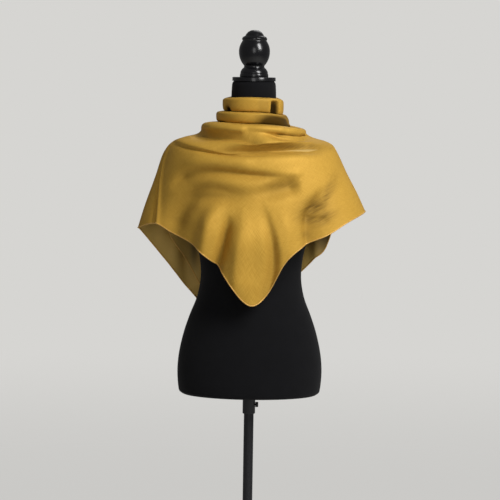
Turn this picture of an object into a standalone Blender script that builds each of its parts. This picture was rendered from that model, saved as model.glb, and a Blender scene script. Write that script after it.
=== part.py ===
"""A square silk satin scarf draped round the neck and shoulders of a limbless dress form.

The form stands on a pole and a round base. Metres and degrees, +Z up. The scarf's front
faces -Y and its point hangs at the middle; +X is on the viewer's right. The origin is the
middle of the base's underside.

Turns go round the form: 0 is the middle of the front, 90 the viewer's right, 180 the back.
The cloth is skinned through loops that run round the form, from the neck down to the hem,
and its folds are then pressed in or raised along short paths.
"""
from collections import namedtuple
import math

import bmesh
import bpy
from mathutils import Matrix, Vector
from mathutils.bvhtree import BVHTree
import numpy as np

# ---- Cloth ----------------------------------------------------------------------------
WALL = 0.0012                    # thickness of the cloth
SEAM_GAP = 0.0003                # space between neighbouring pieces
BEND_GAP = 0.0006                # the same on the wall's middle where it bends at a seam
TUCK = WALL + SEAM_GAP           # how far a roll starts below the roll that lies on it
HEM_RADIUS = 0.0012              # half the thickness of the rolled hem
HEM_END_TRIM = 0.0005            # what each stretch of hem stops short of its neighbour
FORM_SPACE = 0.0040              # the middle of the drape's wall is kept this far off the form
CROWN_POWER = 0.50               # below 1 fills out the upper quarter-ellipse of a roll
UNDER_POWER = 0.80               # and its lower one
START_ROWS = 2                   # rows of the bend where a roll starts under another one
COLUMN_STEP = 6                  # degrees between the cloth's columns of points
FIRST_TURN = -102                # the cloth's columns start here and go once round
LEFT_SEAM_TURN = -72             # where the left side fold meets the front
RIGHT_SEAM_TURN = 96             # where the front meets the back
VALLEY_TURN = -78                # the crease of the left side fold
VALLEY_DEPTH = 0.0045            # how deep that crease is pressed in at the hem
VALLEY_WIDTH = 5.0               # its half-width, in degrees of turn
COWL_END = "yoke"                # the loop where the cowl fold meets the panels
VALLEY_START = "shoulder_out"    # the loop where the left crease starts

# A row for each loop round the form, from the neck down. left, right, front and back are
# how far it reaches; the z columns are its heights there. sharp_left or sharp_right above 1
# draws the loop to an edge at that side, and below 1 squares it. valley is the turn where the
# left crease crosses it. passage is how the cloth goes on to the next loop, in so many rows:
# crown leaves level and bends down, under goes down and bends in level, smooth runs straight
# on, tuck drops under a roll.
Loop = namedtuple(
    "Loop",
    "name passage rows left right front back z_front z_left z_right z_back"
    " sharp_left sharp_right valley")
LOOPS = [
    Loop("neck_edge", "crown", 2, .052, .0512, .052, .0515, 1.399, 1.3965, 1.396, 1.403, 1, 1, -78),
    Loop("top_out", "under", 2, .0692, .067, .0698, .068, 1.388, 1.385, 1.379, 1.388, 1, 1, -78),
    Loop("top_tuck", "tuck", 0, .0635, .064, .064, .062, 1.3675, 1.3675, 1.36, 1.3695, 1, 1, -78),
    Loop("lower_out", "under", 2, .0832, .086, .085, .081, 1.358, 1.356, 1.3395, 1.357, 1, 1, -78),
    Loop("lower_tuck", "tuck", 0, .077, .083, .078, .074, 1.342, 1.343, 1.332, 1.344, 1, 1, -78),
    Loop("cowl_out", "smooth", 1, .1165, .118, .104, .097, 1.326, 1.3225, 1.3195, 1.328, 1.03, 1.03, -78),
    Loop("yoke", "smooth", 1, .124, .137, .1105, .101, 1.308, 1.315, 1.307, 1.31, 1.05, 1.05, -78),
    Loop("shoulder_in", "smooth", 1, .155, .162, .12, .105, 1.288, 1.3065, 1.3015, 1.288, 1.05, 1.05, -79),
    Loop("shoulder_out", "smooth", 1, .18, .178, .126, .108, 1.268, 1.295, 1.2935, 1.267, 1.08, 1.03, -82),
    Loop("shoulder_drop", "smooth", 2, .195, .189, .131, .112, 1.243, 1.275, 1.277, 1.242, 1.12, 1.04, -83),
    Loop("upper_arm", "smooth", 3, .213, .211, .136, .119, 1.2, 1.221, 1.232, 1.195, 1.25, 1, -76),
    Loop("lower_arm", "smooth", 4, .238, .234, .141, .125, 1.125, 1.151, 1.189, 1.115, 1.38, 0.9, -64),
    Loop("hem", "end", 0, .253, .254, .143, .12, 0.943, 1.102, 1.147, 0.845, 1.5, 0.9, -59),
]

# The hem's height over its place across the form, in front and behind.
HemPoint = namedtuple("HemPoint", "x z")
FRONT_HEM = [
    HemPoint(-0.253, 1.101), HemPoint(-0.216, 1.117), HemPoint(-0.181, 1.099), HemPoint(-0.118, 1.068),
    HemPoint(-0.080, 1.038), HemPoint(-0.041, 0.984), HemPoint(-0.018, 0.955), HemPoint(0.001, 0.944),
    HemPoint(0.020, 0.951), HemPoint(0.039, 0.975), HemPoint(0.071, 1.039), HemPoint(0.111, 1.076),
    HemPoint(0.172, 1.102), HemPoint(0.211, 1.126), HemPoint(0.254, 1.147),
]
BACK_HEM = [
    HemPoint(-0.253, 1.101), HemPoint(-0.192, 1.021), HemPoint(-0.128, 0.940), HemPoint(-0.065, 0.864),
    HemPoint(-0.040, 0.845), HemPoint(-0.012, 0.859), HemPoint(0.055, 0.937), HemPoint(0.145, 1.029),
    HemPoint(0.170, 1.056), HemPoint(0.182, 1.092), HemPoint(0.215, 1.125), HemPoint(0.254, 1.147),
]

# A row for each large fold: how far it stands out (or, below zero, is pressed in), its
# half-width at its start and end, its lean, the share of its path over which it grows to its
# full height, and its path over the form as (x, z) places. A fold that leans is wider on one
# side of its path: above it or at its right for a lean over 0, below or left under 0.
Fold = namedtuple("Fold", "name side height start_width end_width lean rise path")
FOLDS = [
    Fold("cowl_streak", "front", -.0060, .009, .007, .3, .25,
         ((-.142, 1.306), (-.116, 1.309), (-.078, 1.309), (-.039, 1.307), (-.006, 1.305), (.030, 1.304))),
    Fold("collarbone_trough", "front", -.0120, .010, .011, .2, .35,
         ((-.110, 1.280), (-.055, 1.284), (-.020, 1.287), (.012, 1.288), (.048, 1.289), (.104, 1.290),
          (.150, 1.290), (.190, 1.287), (.222, 1.282))),
    Fold("chest_ridge", "front", .0040, .014, .014, .0, .25,
         ((-.165, 1.252), (-.104, 1.262), (-.046, 1.262), (.012, 1.256))),
    Fold("cowl_crescent", "front", -.0090, .014, .010, -.3, .30,
         ((-.186, 1.186), (-.162, 1.217), (-.138, 1.231), (-.104, 1.238), (-.061, 1.238), (-.010, 1.233),
          (.040, 1.230), (.094, 1.230))),
    Fold("arch_left", "front", -.0150, .016, .026, .0, .35,
         ((.000, 1.184), (-.045, 1.186), (-.090, 1.188), (-.126, 1.182), (-.152, 1.160), (-.166, 1.134),
          (-.170, 1.105), (-.172, 1.020))),
    Fold("arch_right", "front", -.0070, .016, .018, .3, .30,
         ((-.060, 1.184), (-.020, 1.182), (.020, 1.181), (.060, 1.181), (.095, 1.186), (.124, 1.198))),
    Fold("belly", "front", .0060, .032, .032, .0, .25,
         ((-.100, 1.128), (-.040, 1.138), (.040, 1.138), (.100, 1.130))),
    Fold("left_ridge", "front", .0180, .018, .021, .0, .50,
         ((-.050, 1.182), (-.082, 1.158), (-.098, 1.129), (-.105, 1.096), (-.110, 1.060), (-.114, 1.010))),
    Fold("middle_trough", "front", -.0200, .012, .018, .2, .60,
         ((-.030, 1.184), (-.046, 1.154), (-.058, 1.126), (-.065, 1.099), (-.071, 1.066), (-.076, 1.031),
          (-.074, .990), (-.066, .930))),
    Fold("middle_ridge", "front", .0140, .014, .024, .0, .65,
         ((-.010, 1.180), (-.017, 1.140), (-.018, 1.098), (-.016, 1.060), (-.012, 1.000), (-.006, .940))),
    Fold("right_trough", "front", -.0140, .012, .015, -.2, .55,
         ((.012, 1.184), (.028, 1.150), (.040, 1.112), (.048, 1.078), (.052, 1.044), (.050, 1.010),
          (.040, .970))),
    Fold("right_ridge", "front", .0070, .014, .016, .2, .50,
         ((.056, 1.180), (.068, 1.138), (.078, 1.105), (.084, 1.067), (.088, 1.020))),
    Fold("elbow_hollow", "front", -.0140, .020, .026, .4, .40,
         ((.140, 1.206), (.122, 1.184), (.110, 1.164), (.106, 1.144), (.110, 1.116), (.118, 1.080),
          (.122, 1.030))),
    Fold("back_cowl_trough", "back", -.0050, .010, .011, .2, .25,
         ((-.172, 1.276), (-.080, 1.245), (.010, 1.236), (.100, 1.250), (.178, 1.280))),
    Fold("back_left_trough", "back", -.0050, .018, .020, .0, .25,
         ((-.060, 1.200), (-.090, 1.120), (-.106, 1.040), (-.112, .920))),
    Fold("back_middle_ridge", "back", .0100, .020, .024, .2, .25,
         ((-.012, 1.195), (-.030, 1.080), (-.044, .960), (-.048, .820))),
    Fold("back_right_trough", "back", -.0090, .016, .018, .0, .25,
         ((.040, 1.200), (.046, 1.100), (.030, 1.000), (.002, .870))),
    Fold("back_right_ridge", "back", .0070, .016, .018, .2, .25,
         ((.085, 1.215), (.100, 1.130), (.098, 1.050), (.080, .950))),
]
SIDE_FADE = 0.030                # depth over which a fold dies away towards the sides
PATH_SAMPLES = 33                # places on the smooth curve along a fold
END_FADE = 0.20                  # share of a fold's path over which its far end dies away

# The scarf's inner end hangs inside the back. A row for each height of it: where it starts
# and ends across, and how far inside the back panel it lies.
InnerRow = namedtuple("InnerRow", "z left right inset")
INNER_END = [
    InnerRow(1.200, -0.188, -0.010, 0.0018), InnerRow(1.140, -0.192, 0.000, 0.0065),
    InnerRow(1.087, -0.186, 0.004, 0.0085), InnerRow(1.032, -0.153, -0.004, 0.0085),
    InnerRow(0.974, -0.120, -0.022, 0.0085), InnerRow(0.920, -0.088, -0.044, 0.0085),
    InnerRow(0.894, -0.070, -0.058, 0.0085),
]
INNER_COLUMNS = 8                # strips across it
DEPTH_BLUR = 0.008               # reach of the average that reads the back panel's depth

# ---- Dress form -----------------------------------------------------------------------
FORM_COLUMNS = 48                # points round the form
BORE_RADIUS = 0.0118             # blind hole for the pole
BORE_TOP = 1.290                 # its upper end
BORE_OVERRUN = 0.020             # how far its cutter reaches out below the form
# A row for each loop of the form, top to bottom. square below 1 fills the loop's corners.
FormLoop = namedtuple("FormLoop", "name rows side front back z_front z_side z_back square")
FORM_LOOPS = [
    FormLoop("neck_top", 1, 0.0450, 0.0450, 0.0450, 1.4340, 1.4340, 1.4340, 1.00),
    FormLoop("neck_round", 1, 0.0480, 0.0480, 0.0480, 1.4300, 1.4300, 1.4300, 1.00),
    FormLoop("neck_upper", 1, 0.0496, 0.0496, 0.0496, 1.4150, 1.4150, 1.4150, 1.00),
    FormLoop("neck_middle", 1, 0.0502, 0.0502, 0.0502, 1.3960, 1.3960, 1.3960, 1.00),
    FormLoop("neck_lower", 1, 0.0515, 0.0515, 0.0515, 1.3600, 1.3600, 1.3600, 1.00),
    FormLoop("neck_base", 1, 0.0610, 0.0600, 0.0570, 1.3290, 1.3360, 1.3400, 0.98),
    FormLoop("collarbone", 1, 0.0960, 0.0790, 0.0730, 1.3080, 1.3180, 1.3230, 0.96),
    FormLoop("shoulder_slope", 1, 0.1360, 0.0960, 0.0860, 1.2850, 1.3055, 1.3010, 0.94),
    FormLoop("shoulder", 1, 0.1640, 0.1050, 0.0940, 1.2610, 1.2960, 1.2760, 0.92),
    FormLoop("shoulder_round", 1, 0.1770, 0.1110, 0.0990, 1.2380, 1.2830, 1.2480, 0.92),
    FormLoop("arm_top", 1, 0.1800, 0.1160, 0.1030, 1.2150, 1.2600, 1.2200, 0.92),
    FormLoop("arm_lower", 2, 0.1700, 0.1240, 0.1060, 1.1750, 1.2000, 1.1800, 0.92),
    FormLoop("bust", 2, 0.1510, 0.1260, 0.1030, 1.1400, 1.1400, 1.1400, 0.95),
    FormLoop("under_bust", 1, 0.1260, 0.1090, 0.0920, 1.0800, 1.0800, 1.0800, 0.98),
    FormLoop("rib", 1, 0.1165, 0.0980, 0.0830, 1.0400, 1.0400, 1.0400, 1.00),
    FormLoop("waist", 1, 0.1130, 0.0890, 0.0750, 0.9950, 0.9950, 0.9950, 1.00),
    FormLoop("waist_lower", 1, 0.1200, 0.0920, 0.0820, 0.9510, 0.9510, 0.9510, 1.00),
    FormLoop("hip_upper", 1, 0.1360, 0.1000, 0.0970, 0.9090, 0.9090, 0.9090, 0.98),
    FormLoop("hip_middle", 1, 0.1490, 0.1070, 0.1090, 0.8700, 0.8700, 0.8700, 0.97),
    FormLoop("hip", 1, 0.1600, 0.1130, 0.1190, 0.8200, 0.8200, 0.8200, 0.96),
    FormLoop("hip_lower", 1, 0.1630, 0.1140, 0.1200, 0.7800, 0.7800, 0.7800, 0.96),
    FormLoop("bottom", 1, 0.1600, 0.1120, 0.1160, 0.7420, 0.7420, 0.7420, 0.96),
    FormLoop("bottom_round", 1, 0.1580, 0.1100, 0.1140, 0.7350, 0.7350, 0.7350, 0.96),
    FormLoop("bottom_edge", 1, 0.1510, 0.1040, 0.1080, 0.7300, 0.7300, 0.7300, 0.96),
]

# ---- Neck plate and finial ------------------------------------------------------------
PLATE_RADIUS = 0.0484
PLATE_BOTTOM = 1.4343
PLATE_THICKNESS = 0.0084
PLATE_BEVEL = 0.0008
FINIAL_BOTTOM = PLATE_BOTTOM + PLATE_THICKNESS + SEAM_GAP
FINIAL_HEIGHT = 0.1050
BALL_HEIGHT = 0.0570             # height of the ball's widest level over the finial's foot
BALL_RADIUS = 0.0347
BALL_RISE = 0.0375               # the ball's upper half is this half-ellipse
BALL_FALL = 0.0415               # and its lower half this one
TurnedPoint = namedtuple("TurnedPoint", "radius height")
FINIAL_CAP = [                   # cap, groove and ring above the ball, heights over the foot
    TurnedPoint(0.0000, FINIAL_HEIGHT), TurnedPoint(0.0085, 0.1040), TurnedPoint(0.0150, 0.1005),
    TurnedPoint(0.0195, 0.0952), TurnedPoint(0.0206, 0.0925), TurnedPoint(0.0216, 0.0916),
    TurnedPoint(0.0260, 0.0893), TurnedPoint(0.0280, 0.0862), TurnedPoint(0.0280, 0.0835),
    TurnedPoint(0.0266, 0.0816),
]
FINIAL_FOOT = [                  # neck, ring, bell and foot under the ball
    TurnedPoint(0.0226, 0.0238), TurnedPoint(0.0232, 0.0214), TurnedPoint(0.0266, 0.0184),
    TurnedPoint(0.0298, 0.0136), TurnedPoint(0.0309, 0.0098), TurnedPoint(0.0303, 0.0084),
    TurnedPoint(0.0315, 0.0070), TurnedPoint(0.0320, 0.0030), TurnedPoint(0.0318, 0.0000),
    TurnedPoint(0.0000, 0.0000),
]
BALL_STEPS = 9                   # points down the ball
TURNED_SEGMENTS = 40
PLATE_SEGMENTS = 48

# ---- Stand ----------------------------------------------------------------------------
POLE_RADIUS = 0.0110
POLE_TOP = 1.020
POLE_BEVEL = 0.0010
BASE_RADIUS = 0.165
BASE_EDGE = 0.013                # height of the base near its rim
BASE_DISH = 0.018                # and beside its boss
RIM_ROUND = 0.004                # rounding of the rim's upper edge
RIM_SLOPE = 0.016                # width of the flatter ring inside it
RIM_FOOT = 0.003                 # bevel of the rim's lower edge
BOSS_RADIUS = 0.020
BOSS_TOP = 0.048
BOSS_EDGE = 0.002                # bevel of the boss's upper edge
BOSS_FILLET = 0.006              # and of its foot
SOCKET_RADIUS = 0.0114           # the pole stands in this socket
SOCKET_FLOOR = 0.008
BASE_SEGMENTS = 64
COLLAR_RADIUS = 0.0142
COLLAR_BORE = 0.0117
COLLAR_BOTTOM = 0.684
COLLAR_TOP = 0.7297
COLLAR_EDGE = 0.001              # bevel of its lower edge
FLANGE_RADIUS = 0.032            # the form rests on this flange
FLANGE_THICKNESS = 0.003
FLANGE_FILLET_REACH = 0.002
FLANGE_FILLET_DROP = 0.003
KNOB_HEIGHT = 0.7045             # the clamp screw's axis, which runs along X
SHANK_RADIUS = 0.0025
SHANK_SEGMENTS = 16
SHANK_HOLE_RADIUS = 0.0029
HOLE_SEGMENTS = 24
SHANK_TIP = POLE_RADIUS + SEAM_GAP
KNOB_START = COLLAR_RADIUS + 0.0004
KNOB_LENGTH = 0.0065
KNOB_RADIUS = 0.0060
KNOB_LOBES = 8
KNOB_LOBE_DEPTH = 0.0005
KNOB_TAPER = 0.94                # its outer end, as a share of its inner end
KNOB_SEGMENTS = 32
PART_NAME = "silk_scarf_on_dress_form"

# name: (sRGB colour, roughness, metallic)
MATERIALS = {
    "silk_satin": ("C8963C", 0.38, 0.0),
    "form_jersey": ("0E0F12", 0.90, 0.0),
    "black_lacquer": ("0B0B0D", 0.25, 0.0),
    "black_enamel": ("101012", 0.42, 0.0),
    "knob_plastic": ("141416", 0.55, 0.0),
}


def linear_colour(hex_text):
    """An sRGB hex colour as linear red, green, blue and alpha."""
    channels = [int(hex_text[i:i + 2], 16) / 255 for i in (0, 2, 4)]
    linear = [c / 12.92 if c <= 0.04045 else ((c + 0.055) / 1.055) ** 2.4 for c in channels]
    return (*linear, 1.0)


def make_materials():
    """One Principled material for each entry of MATERIALS."""
    made = {}
    for name, (colour, roughness, metallic) in MATERIALS.items():
        material = bpy.data.materials.new(name)
        material.use_nodes = True
        shader = material.node_tree.nodes["Principled BSDF"]
        shader.inputs["Base Color"].default_value = linear_colour(colour)
        shader.inputs["Roughness"].default_value = roughness
        shader.inputs["Metallic"].default_value = metallic
        made[name] = material
    return made


def clear_scene():
    """Remove every object, so that the script can be run again in an open file."""
    for obj in list(bpy.data.objects):
        bpy.data.objects.remove(obj, do_unlink=True)


def new_collection(name, is_cutters=False):
    """A collection under the scene; the cutters' one is kept out of renders."""
    collection = bpy.data.collections.new(name)
    bpy.context.scene.collection.children.link(collection)
    collection.hide_render = is_cutters
    return collection


# ---- Cloth and form: loops and the skin through them ------------------------------------
def smooth_height(points, x):
    """A smooth curve through points (x, z), read at x."""
    px = np.array([p.x for p in points])
    pz = np.array([p.z for p in points])
    slope = np.gradient(pz, px)
    k = np.clip(np.searchsorted(px, x) - 1, 0, len(px) - 2)
    span = px[k + 1] - px[k]
    f = np.clip((x - px[k]) / span, 0.0, 1.0)
    start = (2 * f ** 3 - 3 * f ** 2 + 1) * pz[k] + (f ** 3 - 2 * f ** 2 + f) * span * slope[k]
    end = (3 * f ** 2 - 2 * f ** 3) * pz[k + 1] + (f ** 3 - f ** 2) * span * slope[k + 1]
    return start + end


def valley_turns(loop, turns):
    """Slide the left side's columns so that VALLEY_TURN lands on the loop's valley turn."""
    at_turns = [FIRST_TURN, -90, VALLEY_TURN, 0, 360 + FIRST_TURN]
    on_loop = [FIRST_TURN, -90, loop.valley, 0, 360 + FIRST_TURN]
    return np.interp(turns, at_turns, on_loop)


def loop_points(loop, turns):
    """Points of one loop at the given turns."""
    angle = np.radians(valley_turns(loop, turns))
    across = np.sin(angle)
    ahead = np.cos(angle)
    reach = np.where(across < 0, loop.left, loop.right)
    depth = np.where(ahead > 0, loop.front, loop.back)
    side_z = np.where(across < 0, loop.z_left, loop.z_right)
    middle_z = np.where(ahead > 0, loop.z_front, loop.z_back)
    x = reach * across
    sharp = np.where(across < 0, loop.sharp_left, loop.sharp_right)
    y = -depth * np.sign(ahead) * np.abs(ahead) ** sharp
    z = side_z * across ** 2 + middle_z * ahead ** 2
    if loop.name == "hem":
        z = np.where(ahead > 0, smooth_height(FRONT_HEM, x), smooth_height(BACK_HEM, x))
    return np.stack([x, y, z], axis=-1)


def between(upper, lower, out_share, down_share):
    """A loop part of the way from upper to lower, with its reach and height moved apart."""
    moved = {}
    for field in ("left", "right", "front", "back", "sharp_left", "sharp_right", "valley"):
        moved[field] = (1 - out_share) * getattr(upper, field) + out_share * getattr(lower, field)
    for field in ("z_front", "z_left", "z_right", "z_back"):
        moved[field] = (1 - down_share) * getattr(upper, field) + down_share * getattr(lower, field)
    return upper._replace(passage="smooth", rows=1, **moved)


def quarter_bend(upper, lower, rows, passage):
    """Loops on the quarter-ellipse from upper to lower, without lower itself."""
    loops = []
    for row in range(rows):
        quarter = math.pi / 2 * row / rows
        power = CROWN_POWER if passage == "crown" else UNDER_POWER
        turned = math.sin(quarter) ** power
        straight = 1 - math.cos(quarter) ** power
        shares = (turned, straight) if passage == "crown" else (straight, turned)
        loops.append(between(upper, lower, *shares))
    return loops


def lowered(loop, name, drop):
    """The same loop, a little lower."""
    heights = {f: getattr(loop, f) - drop for f in ("z_front", "z_left", "z_right", "z_back")}
    return loop._replace(name=name, **heights)


def cloth_stretches():
    """The cloth's loops in runs from top to bottom; each run ends where a roll tucks in."""
    runs = [[]]
    upper = LOOPS[0]
    passage = upper.passage
    for lower in LOOPS[1:]:
        if passage == "smooth":
            runs[-1].append(upper)
        else:
            runs[-1] += quarter_bend(upper, lower, upper.rows or START_ROWS, passage)
        upper = lower
        passage = lower.passage
        if passage == "tuck":
            runs[-1].append(upper)
            runs.append([])
            upper = lowered(upper, upper.name + "_start", TUCK)
            passage = "crown"
    runs[-1].append(upper)
    return runs


def rows_above(run, name):
    """How many rows of a run of loops lie above the named loop."""
    names = [loop.name for loop in run]
    return sum(loop.rows for loop in run[:names.index(name)])


def skin(stations, rows_between):
    """Rows of points on smooth curves down the columns of stations (loop, column, xyz)."""
    step = np.linalg.norm(np.diff(stations, axis=0), axis=2, keepdims=True) ** 0.5
    slope = np.diff(stations, axis=0) / step
    tangent = np.concatenate([slope[:1], slope], axis=0)
    tangent[1:-1] = (slope[:-1] * step[1:] + slope[1:] * step[:-1]) / (step[1:] + step[:-1])
    rows = []
    for k, count in enumerate(rows_between):
        for i in range(count):
            f = i / count
            start = (2 * f ** 3 - 3 * f ** 2 + 1) * stations[k]
            start = start + (f ** 3 - 2 * f ** 2 + f) * step[k] * tangent[k]
            end = (3 * f ** 2 - 2 * f ** 3) * stations[k + 1]
            rows.append(start + end + (f ** 3 - f ** 2) * step[k] * tangent[k + 1])
    rows.append(stations[-1])
    return np.stack(rows)


def grid_normals(grid):
    """Unit normals of a grid (row, column, xyz) whose columns go once round."""
    around = np.roll(grid, -1, axis=1) - np.roll(grid, 1, axis=1)
    down = np.gradient(grid, axis=0)
    normal = np.cross(down, around)
    return normal / np.linalg.norm(normal, axis=2, keepdims=True)


# ---- Cloth: folds ------------------------------------------------------------------------
def smooth_step(share):
    """0 to 1 with level ends."""
    share = np.clip(share, 0.0, 1.0)
    return share * share * (3 - 2 * share)


def smooth_curve(points, count):
    """count places on a smooth curve through the points, evenly shared between them."""
    points = np.array(points, dtype=float)
    position = np.linspace(0, len(points) - 1, count)
    k = np.clip(position.astype(int), 0, len(points) - 2)
    f = (position - k)[:, None]
    slope = np.gradient(points, axis=0)
    start = (2 * f ** 3 - 3 * f ** 2 + 1) * points[k] + (f ** 3 - 2 * f ** 2 + f) * slope[k]
    return start + (3 * f ** 2 - 2 * f ** 3) * points[k + 1] + (f ** 3 - f ** 2) * slope[k + 1]


def fold_height(fold, points):
    """How far one fold moves each point, fading over its width and to its ends."""
    path = smooth_curve(fold.path, PATH_SAMPLES)
    flat = points[..., [0, 2]].reshape(-1, 2)
    nearest = np.linalg.norm(flat[:, None] - path[None], axis=2).argmin(axis=1)
    off = flat - path[nearest]
    distance = np.linalg.norm(off, axis=1)
    way = np.gradient(path, axis=0)[nearest]
    cross = way[:, 0] * off[:, 1] - way[:, 1] * off[:, 0]
    side = cross / np.maximum(np.linalg.norm(way, axis=1) * distance, 1e-9)
    share = nearest / (len(path) - 1)
    width = (fold.start_width + (fold.end_width - fold.start_width) * share) * (1 + fold.lean * side)
    fade = smooth_step(share / fold.rise) * smooth_step((1 - share) / END_FADE)
    ahead = points[..., 1].reshape(-1) * (-1 if fold.side == "front" else 1)
    reach = np.clip(ahead / SIDE_FADE, 0.0, 1.0)
    height = fold.height * fade * reach * np.exp(-(distance / width) ** 2)
    return height.reshape(points.shape[:-1])


def valley_height(turns, row_share):
    """The left side fold's crease, pressed in deeper towards the hem."""
    across = np.exp(-((turns - VALLEY_TURN) / VALLEY_WIDTH) ** 2)
    return -VALLEY_DEPTH * across[None, :] * np.clip(row_share, 0.0, 1.0)[:, None]


def run_grid(run, turns):
    """The skin through one run of loops."""
    stations = np.stack([loop_points(loop, turns) for loop in run])
    return skin(stations, [loop.rows for loop in run[:-1]])


def folded(drape, run, turns):
    """The drape with its folds and the left crease pressed in or raised."""
    height = sum(fold_height(fold, drape) for fold in FOLDS)
    first = rows_above(run, VALLEY_START)
    last = len(drape) - 1
    row_share = (np.arange(len(drape)) - first) / (last - first)
    height = height + valley_height(turns, row_share)
    return drape + height[..., None] * grid_normals(drape)


def clear_of(form, grid):
    """The grid with each point that comes too near the form's surface lifted off it."""
    points = grid.reshape(-1, 3)
    lift = np.zeros(len(points))
    for i, point in enumerate(points):
        place, normal, _, _ = form.find_nearest(point)
        lift[i] = max(0.0, FORM_SPACE - (Vector(point) - place).dot(normal))
    return grid + lift.reshape(grid.shape[:-1])[..., None] * grid_normals(grid)


# ---- Meshes from grids -------------------------------------------------------------------
def grid_faces(rows, columns, closed):
    """Quads of a grid, facing outwards."""
    faces = []
    for r in range(rows - 1):
        for c in range(columns if closed else columns - 1):
            n = (c + 1) % columns
            faces.append((r * columns + c, (r + 1) * columns + c, (r + 1) * columns + n, r * columns + n))
    return faces


def mesh_object(name, vertices, faces, material, collection):
    """A smooth-shaded mesh object."""
    mesh = bpy.data.meshes.new(name)
    mesh.from_pydata([tuple(map(float, v)) for v in vertices], [], faces)
    mesh.materials.append(material)
    mesh.shade_smooth()
    obj = bpy.data.objects.new(name, mesh)
    collection.objects.link(obj)
    return obj


def drawn_back(edge, inner, space):
    """Edge points moved towards their inner neighbours until the old edge is space away."""
    way = inner - edge
    way = way / np.linalg.norm(way, axis=-1, keepdims=True)
    along = np.gradient(edge, axis=0)
    along = along / np.linalg.norm(along, axis=-1, keepdims=True)
    slant = np.linalg.norm(np.cross(way, along), axis=-1, keepdims=True)
    return edge + way * space / slant


def pulled_in(grid, top=0.0, bottom=0.0, left=0.0, right=0.0):
    """A grid with each edge drawn back by the given space."""
    grid = grid.copy()
    if top:
        grid[0] = drawn_back(grid[0], grid[1], top)
    if bottom:
        grid[-1] = drawn_back(grid[-1], grid[-2], bottom)
    if left:
        grid[:, 0] = drawn_back(grid[:, 0], grid[:, 1], left)
    if right:
        grid[:, -1] = drawn_back(grid[:, -1], grid[:, -2], right)
    return grid


def cloth_object(name, grid, closed, material, collection):
    """An open sheet through the grid, given its wall by Solidify."""
    rows, columns = grid.shape[:2]
    obj = mesh_object(name, grid.reshape(-1, 3), grid_faces(rows, columns, closed), material, collection)
    wall = obj.modifiers.new("wall", "SOLIDIFY")
    wall.thickness = WALL
    wall.offset = 0.0
    return obj


def trimmed_path(points, length):
    """A path shortened at both ends."""
    path = np.array(points)
    for end, inner in ((0, 1), (-1, -2)):
        way = path[inner] - path[end]
        path[end] += way * length / np.linalg.norm(way)
    return path


def hem_object(name, points, material, collection):
    """A rolled hem: a thin tube along the cloth's edge."""
    curve = bpy.data.curves.new(name, "CURVE")
    curve.dimensions = "3D"
    curve.bevel_depth = HEM_RADIUS
    curve.bevel_resolution = 1
    curve.use_fill_caps = True
    spline = curve.splines.new("POLY")
    spline.points.add(len(points) - 1)
    for spline_point, place in zip(spline.points, points):
        spline_point.co = (*map(float, place), 1.0)
    curve.materials.append(material)
    obj = bpy.data.objects.new(name, curve)
    collection.objects.link(obj)
    return obj


def turned_object(name, profile, material, collection, segments=TURNED_SEGMENTS):
    """A turned piece: a profile of (radius, height), outer side top to bottom, and Screw."""
    mesh = bpy.data.meshes.new(name)
    mesh.from_pydata([(r, 0.0, h) for r, h in profile], [(i, i + 1) for i in range(len(profile) - 1)], [])
    mesh.materials.append(material)
    obj = bpy.data.objects.new(name, mesh)
    collection.objects.link(obj)
    screw = obj.modifiers.new("turn", "SCREW")
    screw.steps = segments
    screw.render_steps = segments
    screw.use_merge_vertices = True
    screw.merge_threshold = 0.00001
    screw.use_smooth_shade = True
    return obj


def cylinder_object(name, radius, length, middle, collection, material=None, along_x=False, segments=32):
    """A cylinder about its middle, upright or along X."""
    mesh = bpy.data.meshes.new(name)
    body = bmesh.new()
    bmesh.ops.create_cone(body, cap_ends=True, segments=segments, radius1=radius, radius2=radius,
                          depth=length)
    if along_x:
        bmesh.ops.rotate(body, verts=body.verts, matrix=Matrix.Rotation(math.pi / 2, 3, "Y"))
    body.to_mesh(mesh)
    body.free()
    if material:
        mesh.materials.append(material)
    obj = bpy.data.objects.new(name, mesh)
    obj.location = middle
    collection.objects.link(obj)
    return obj


def cut_away(target, cutter, operation="DIFFERENCE"):
    """An exact Boolean of target with a cutter, which stays hidden."""
    cutter.hide_render = True
    cutter.display_type = "WIRE"
    boolean = target.modifiers.new(cutter.name, "BOOLEAN")
    boolean.operation = operation
    boolean.object = cutter
    boolean.solver = "EXACT"


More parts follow.
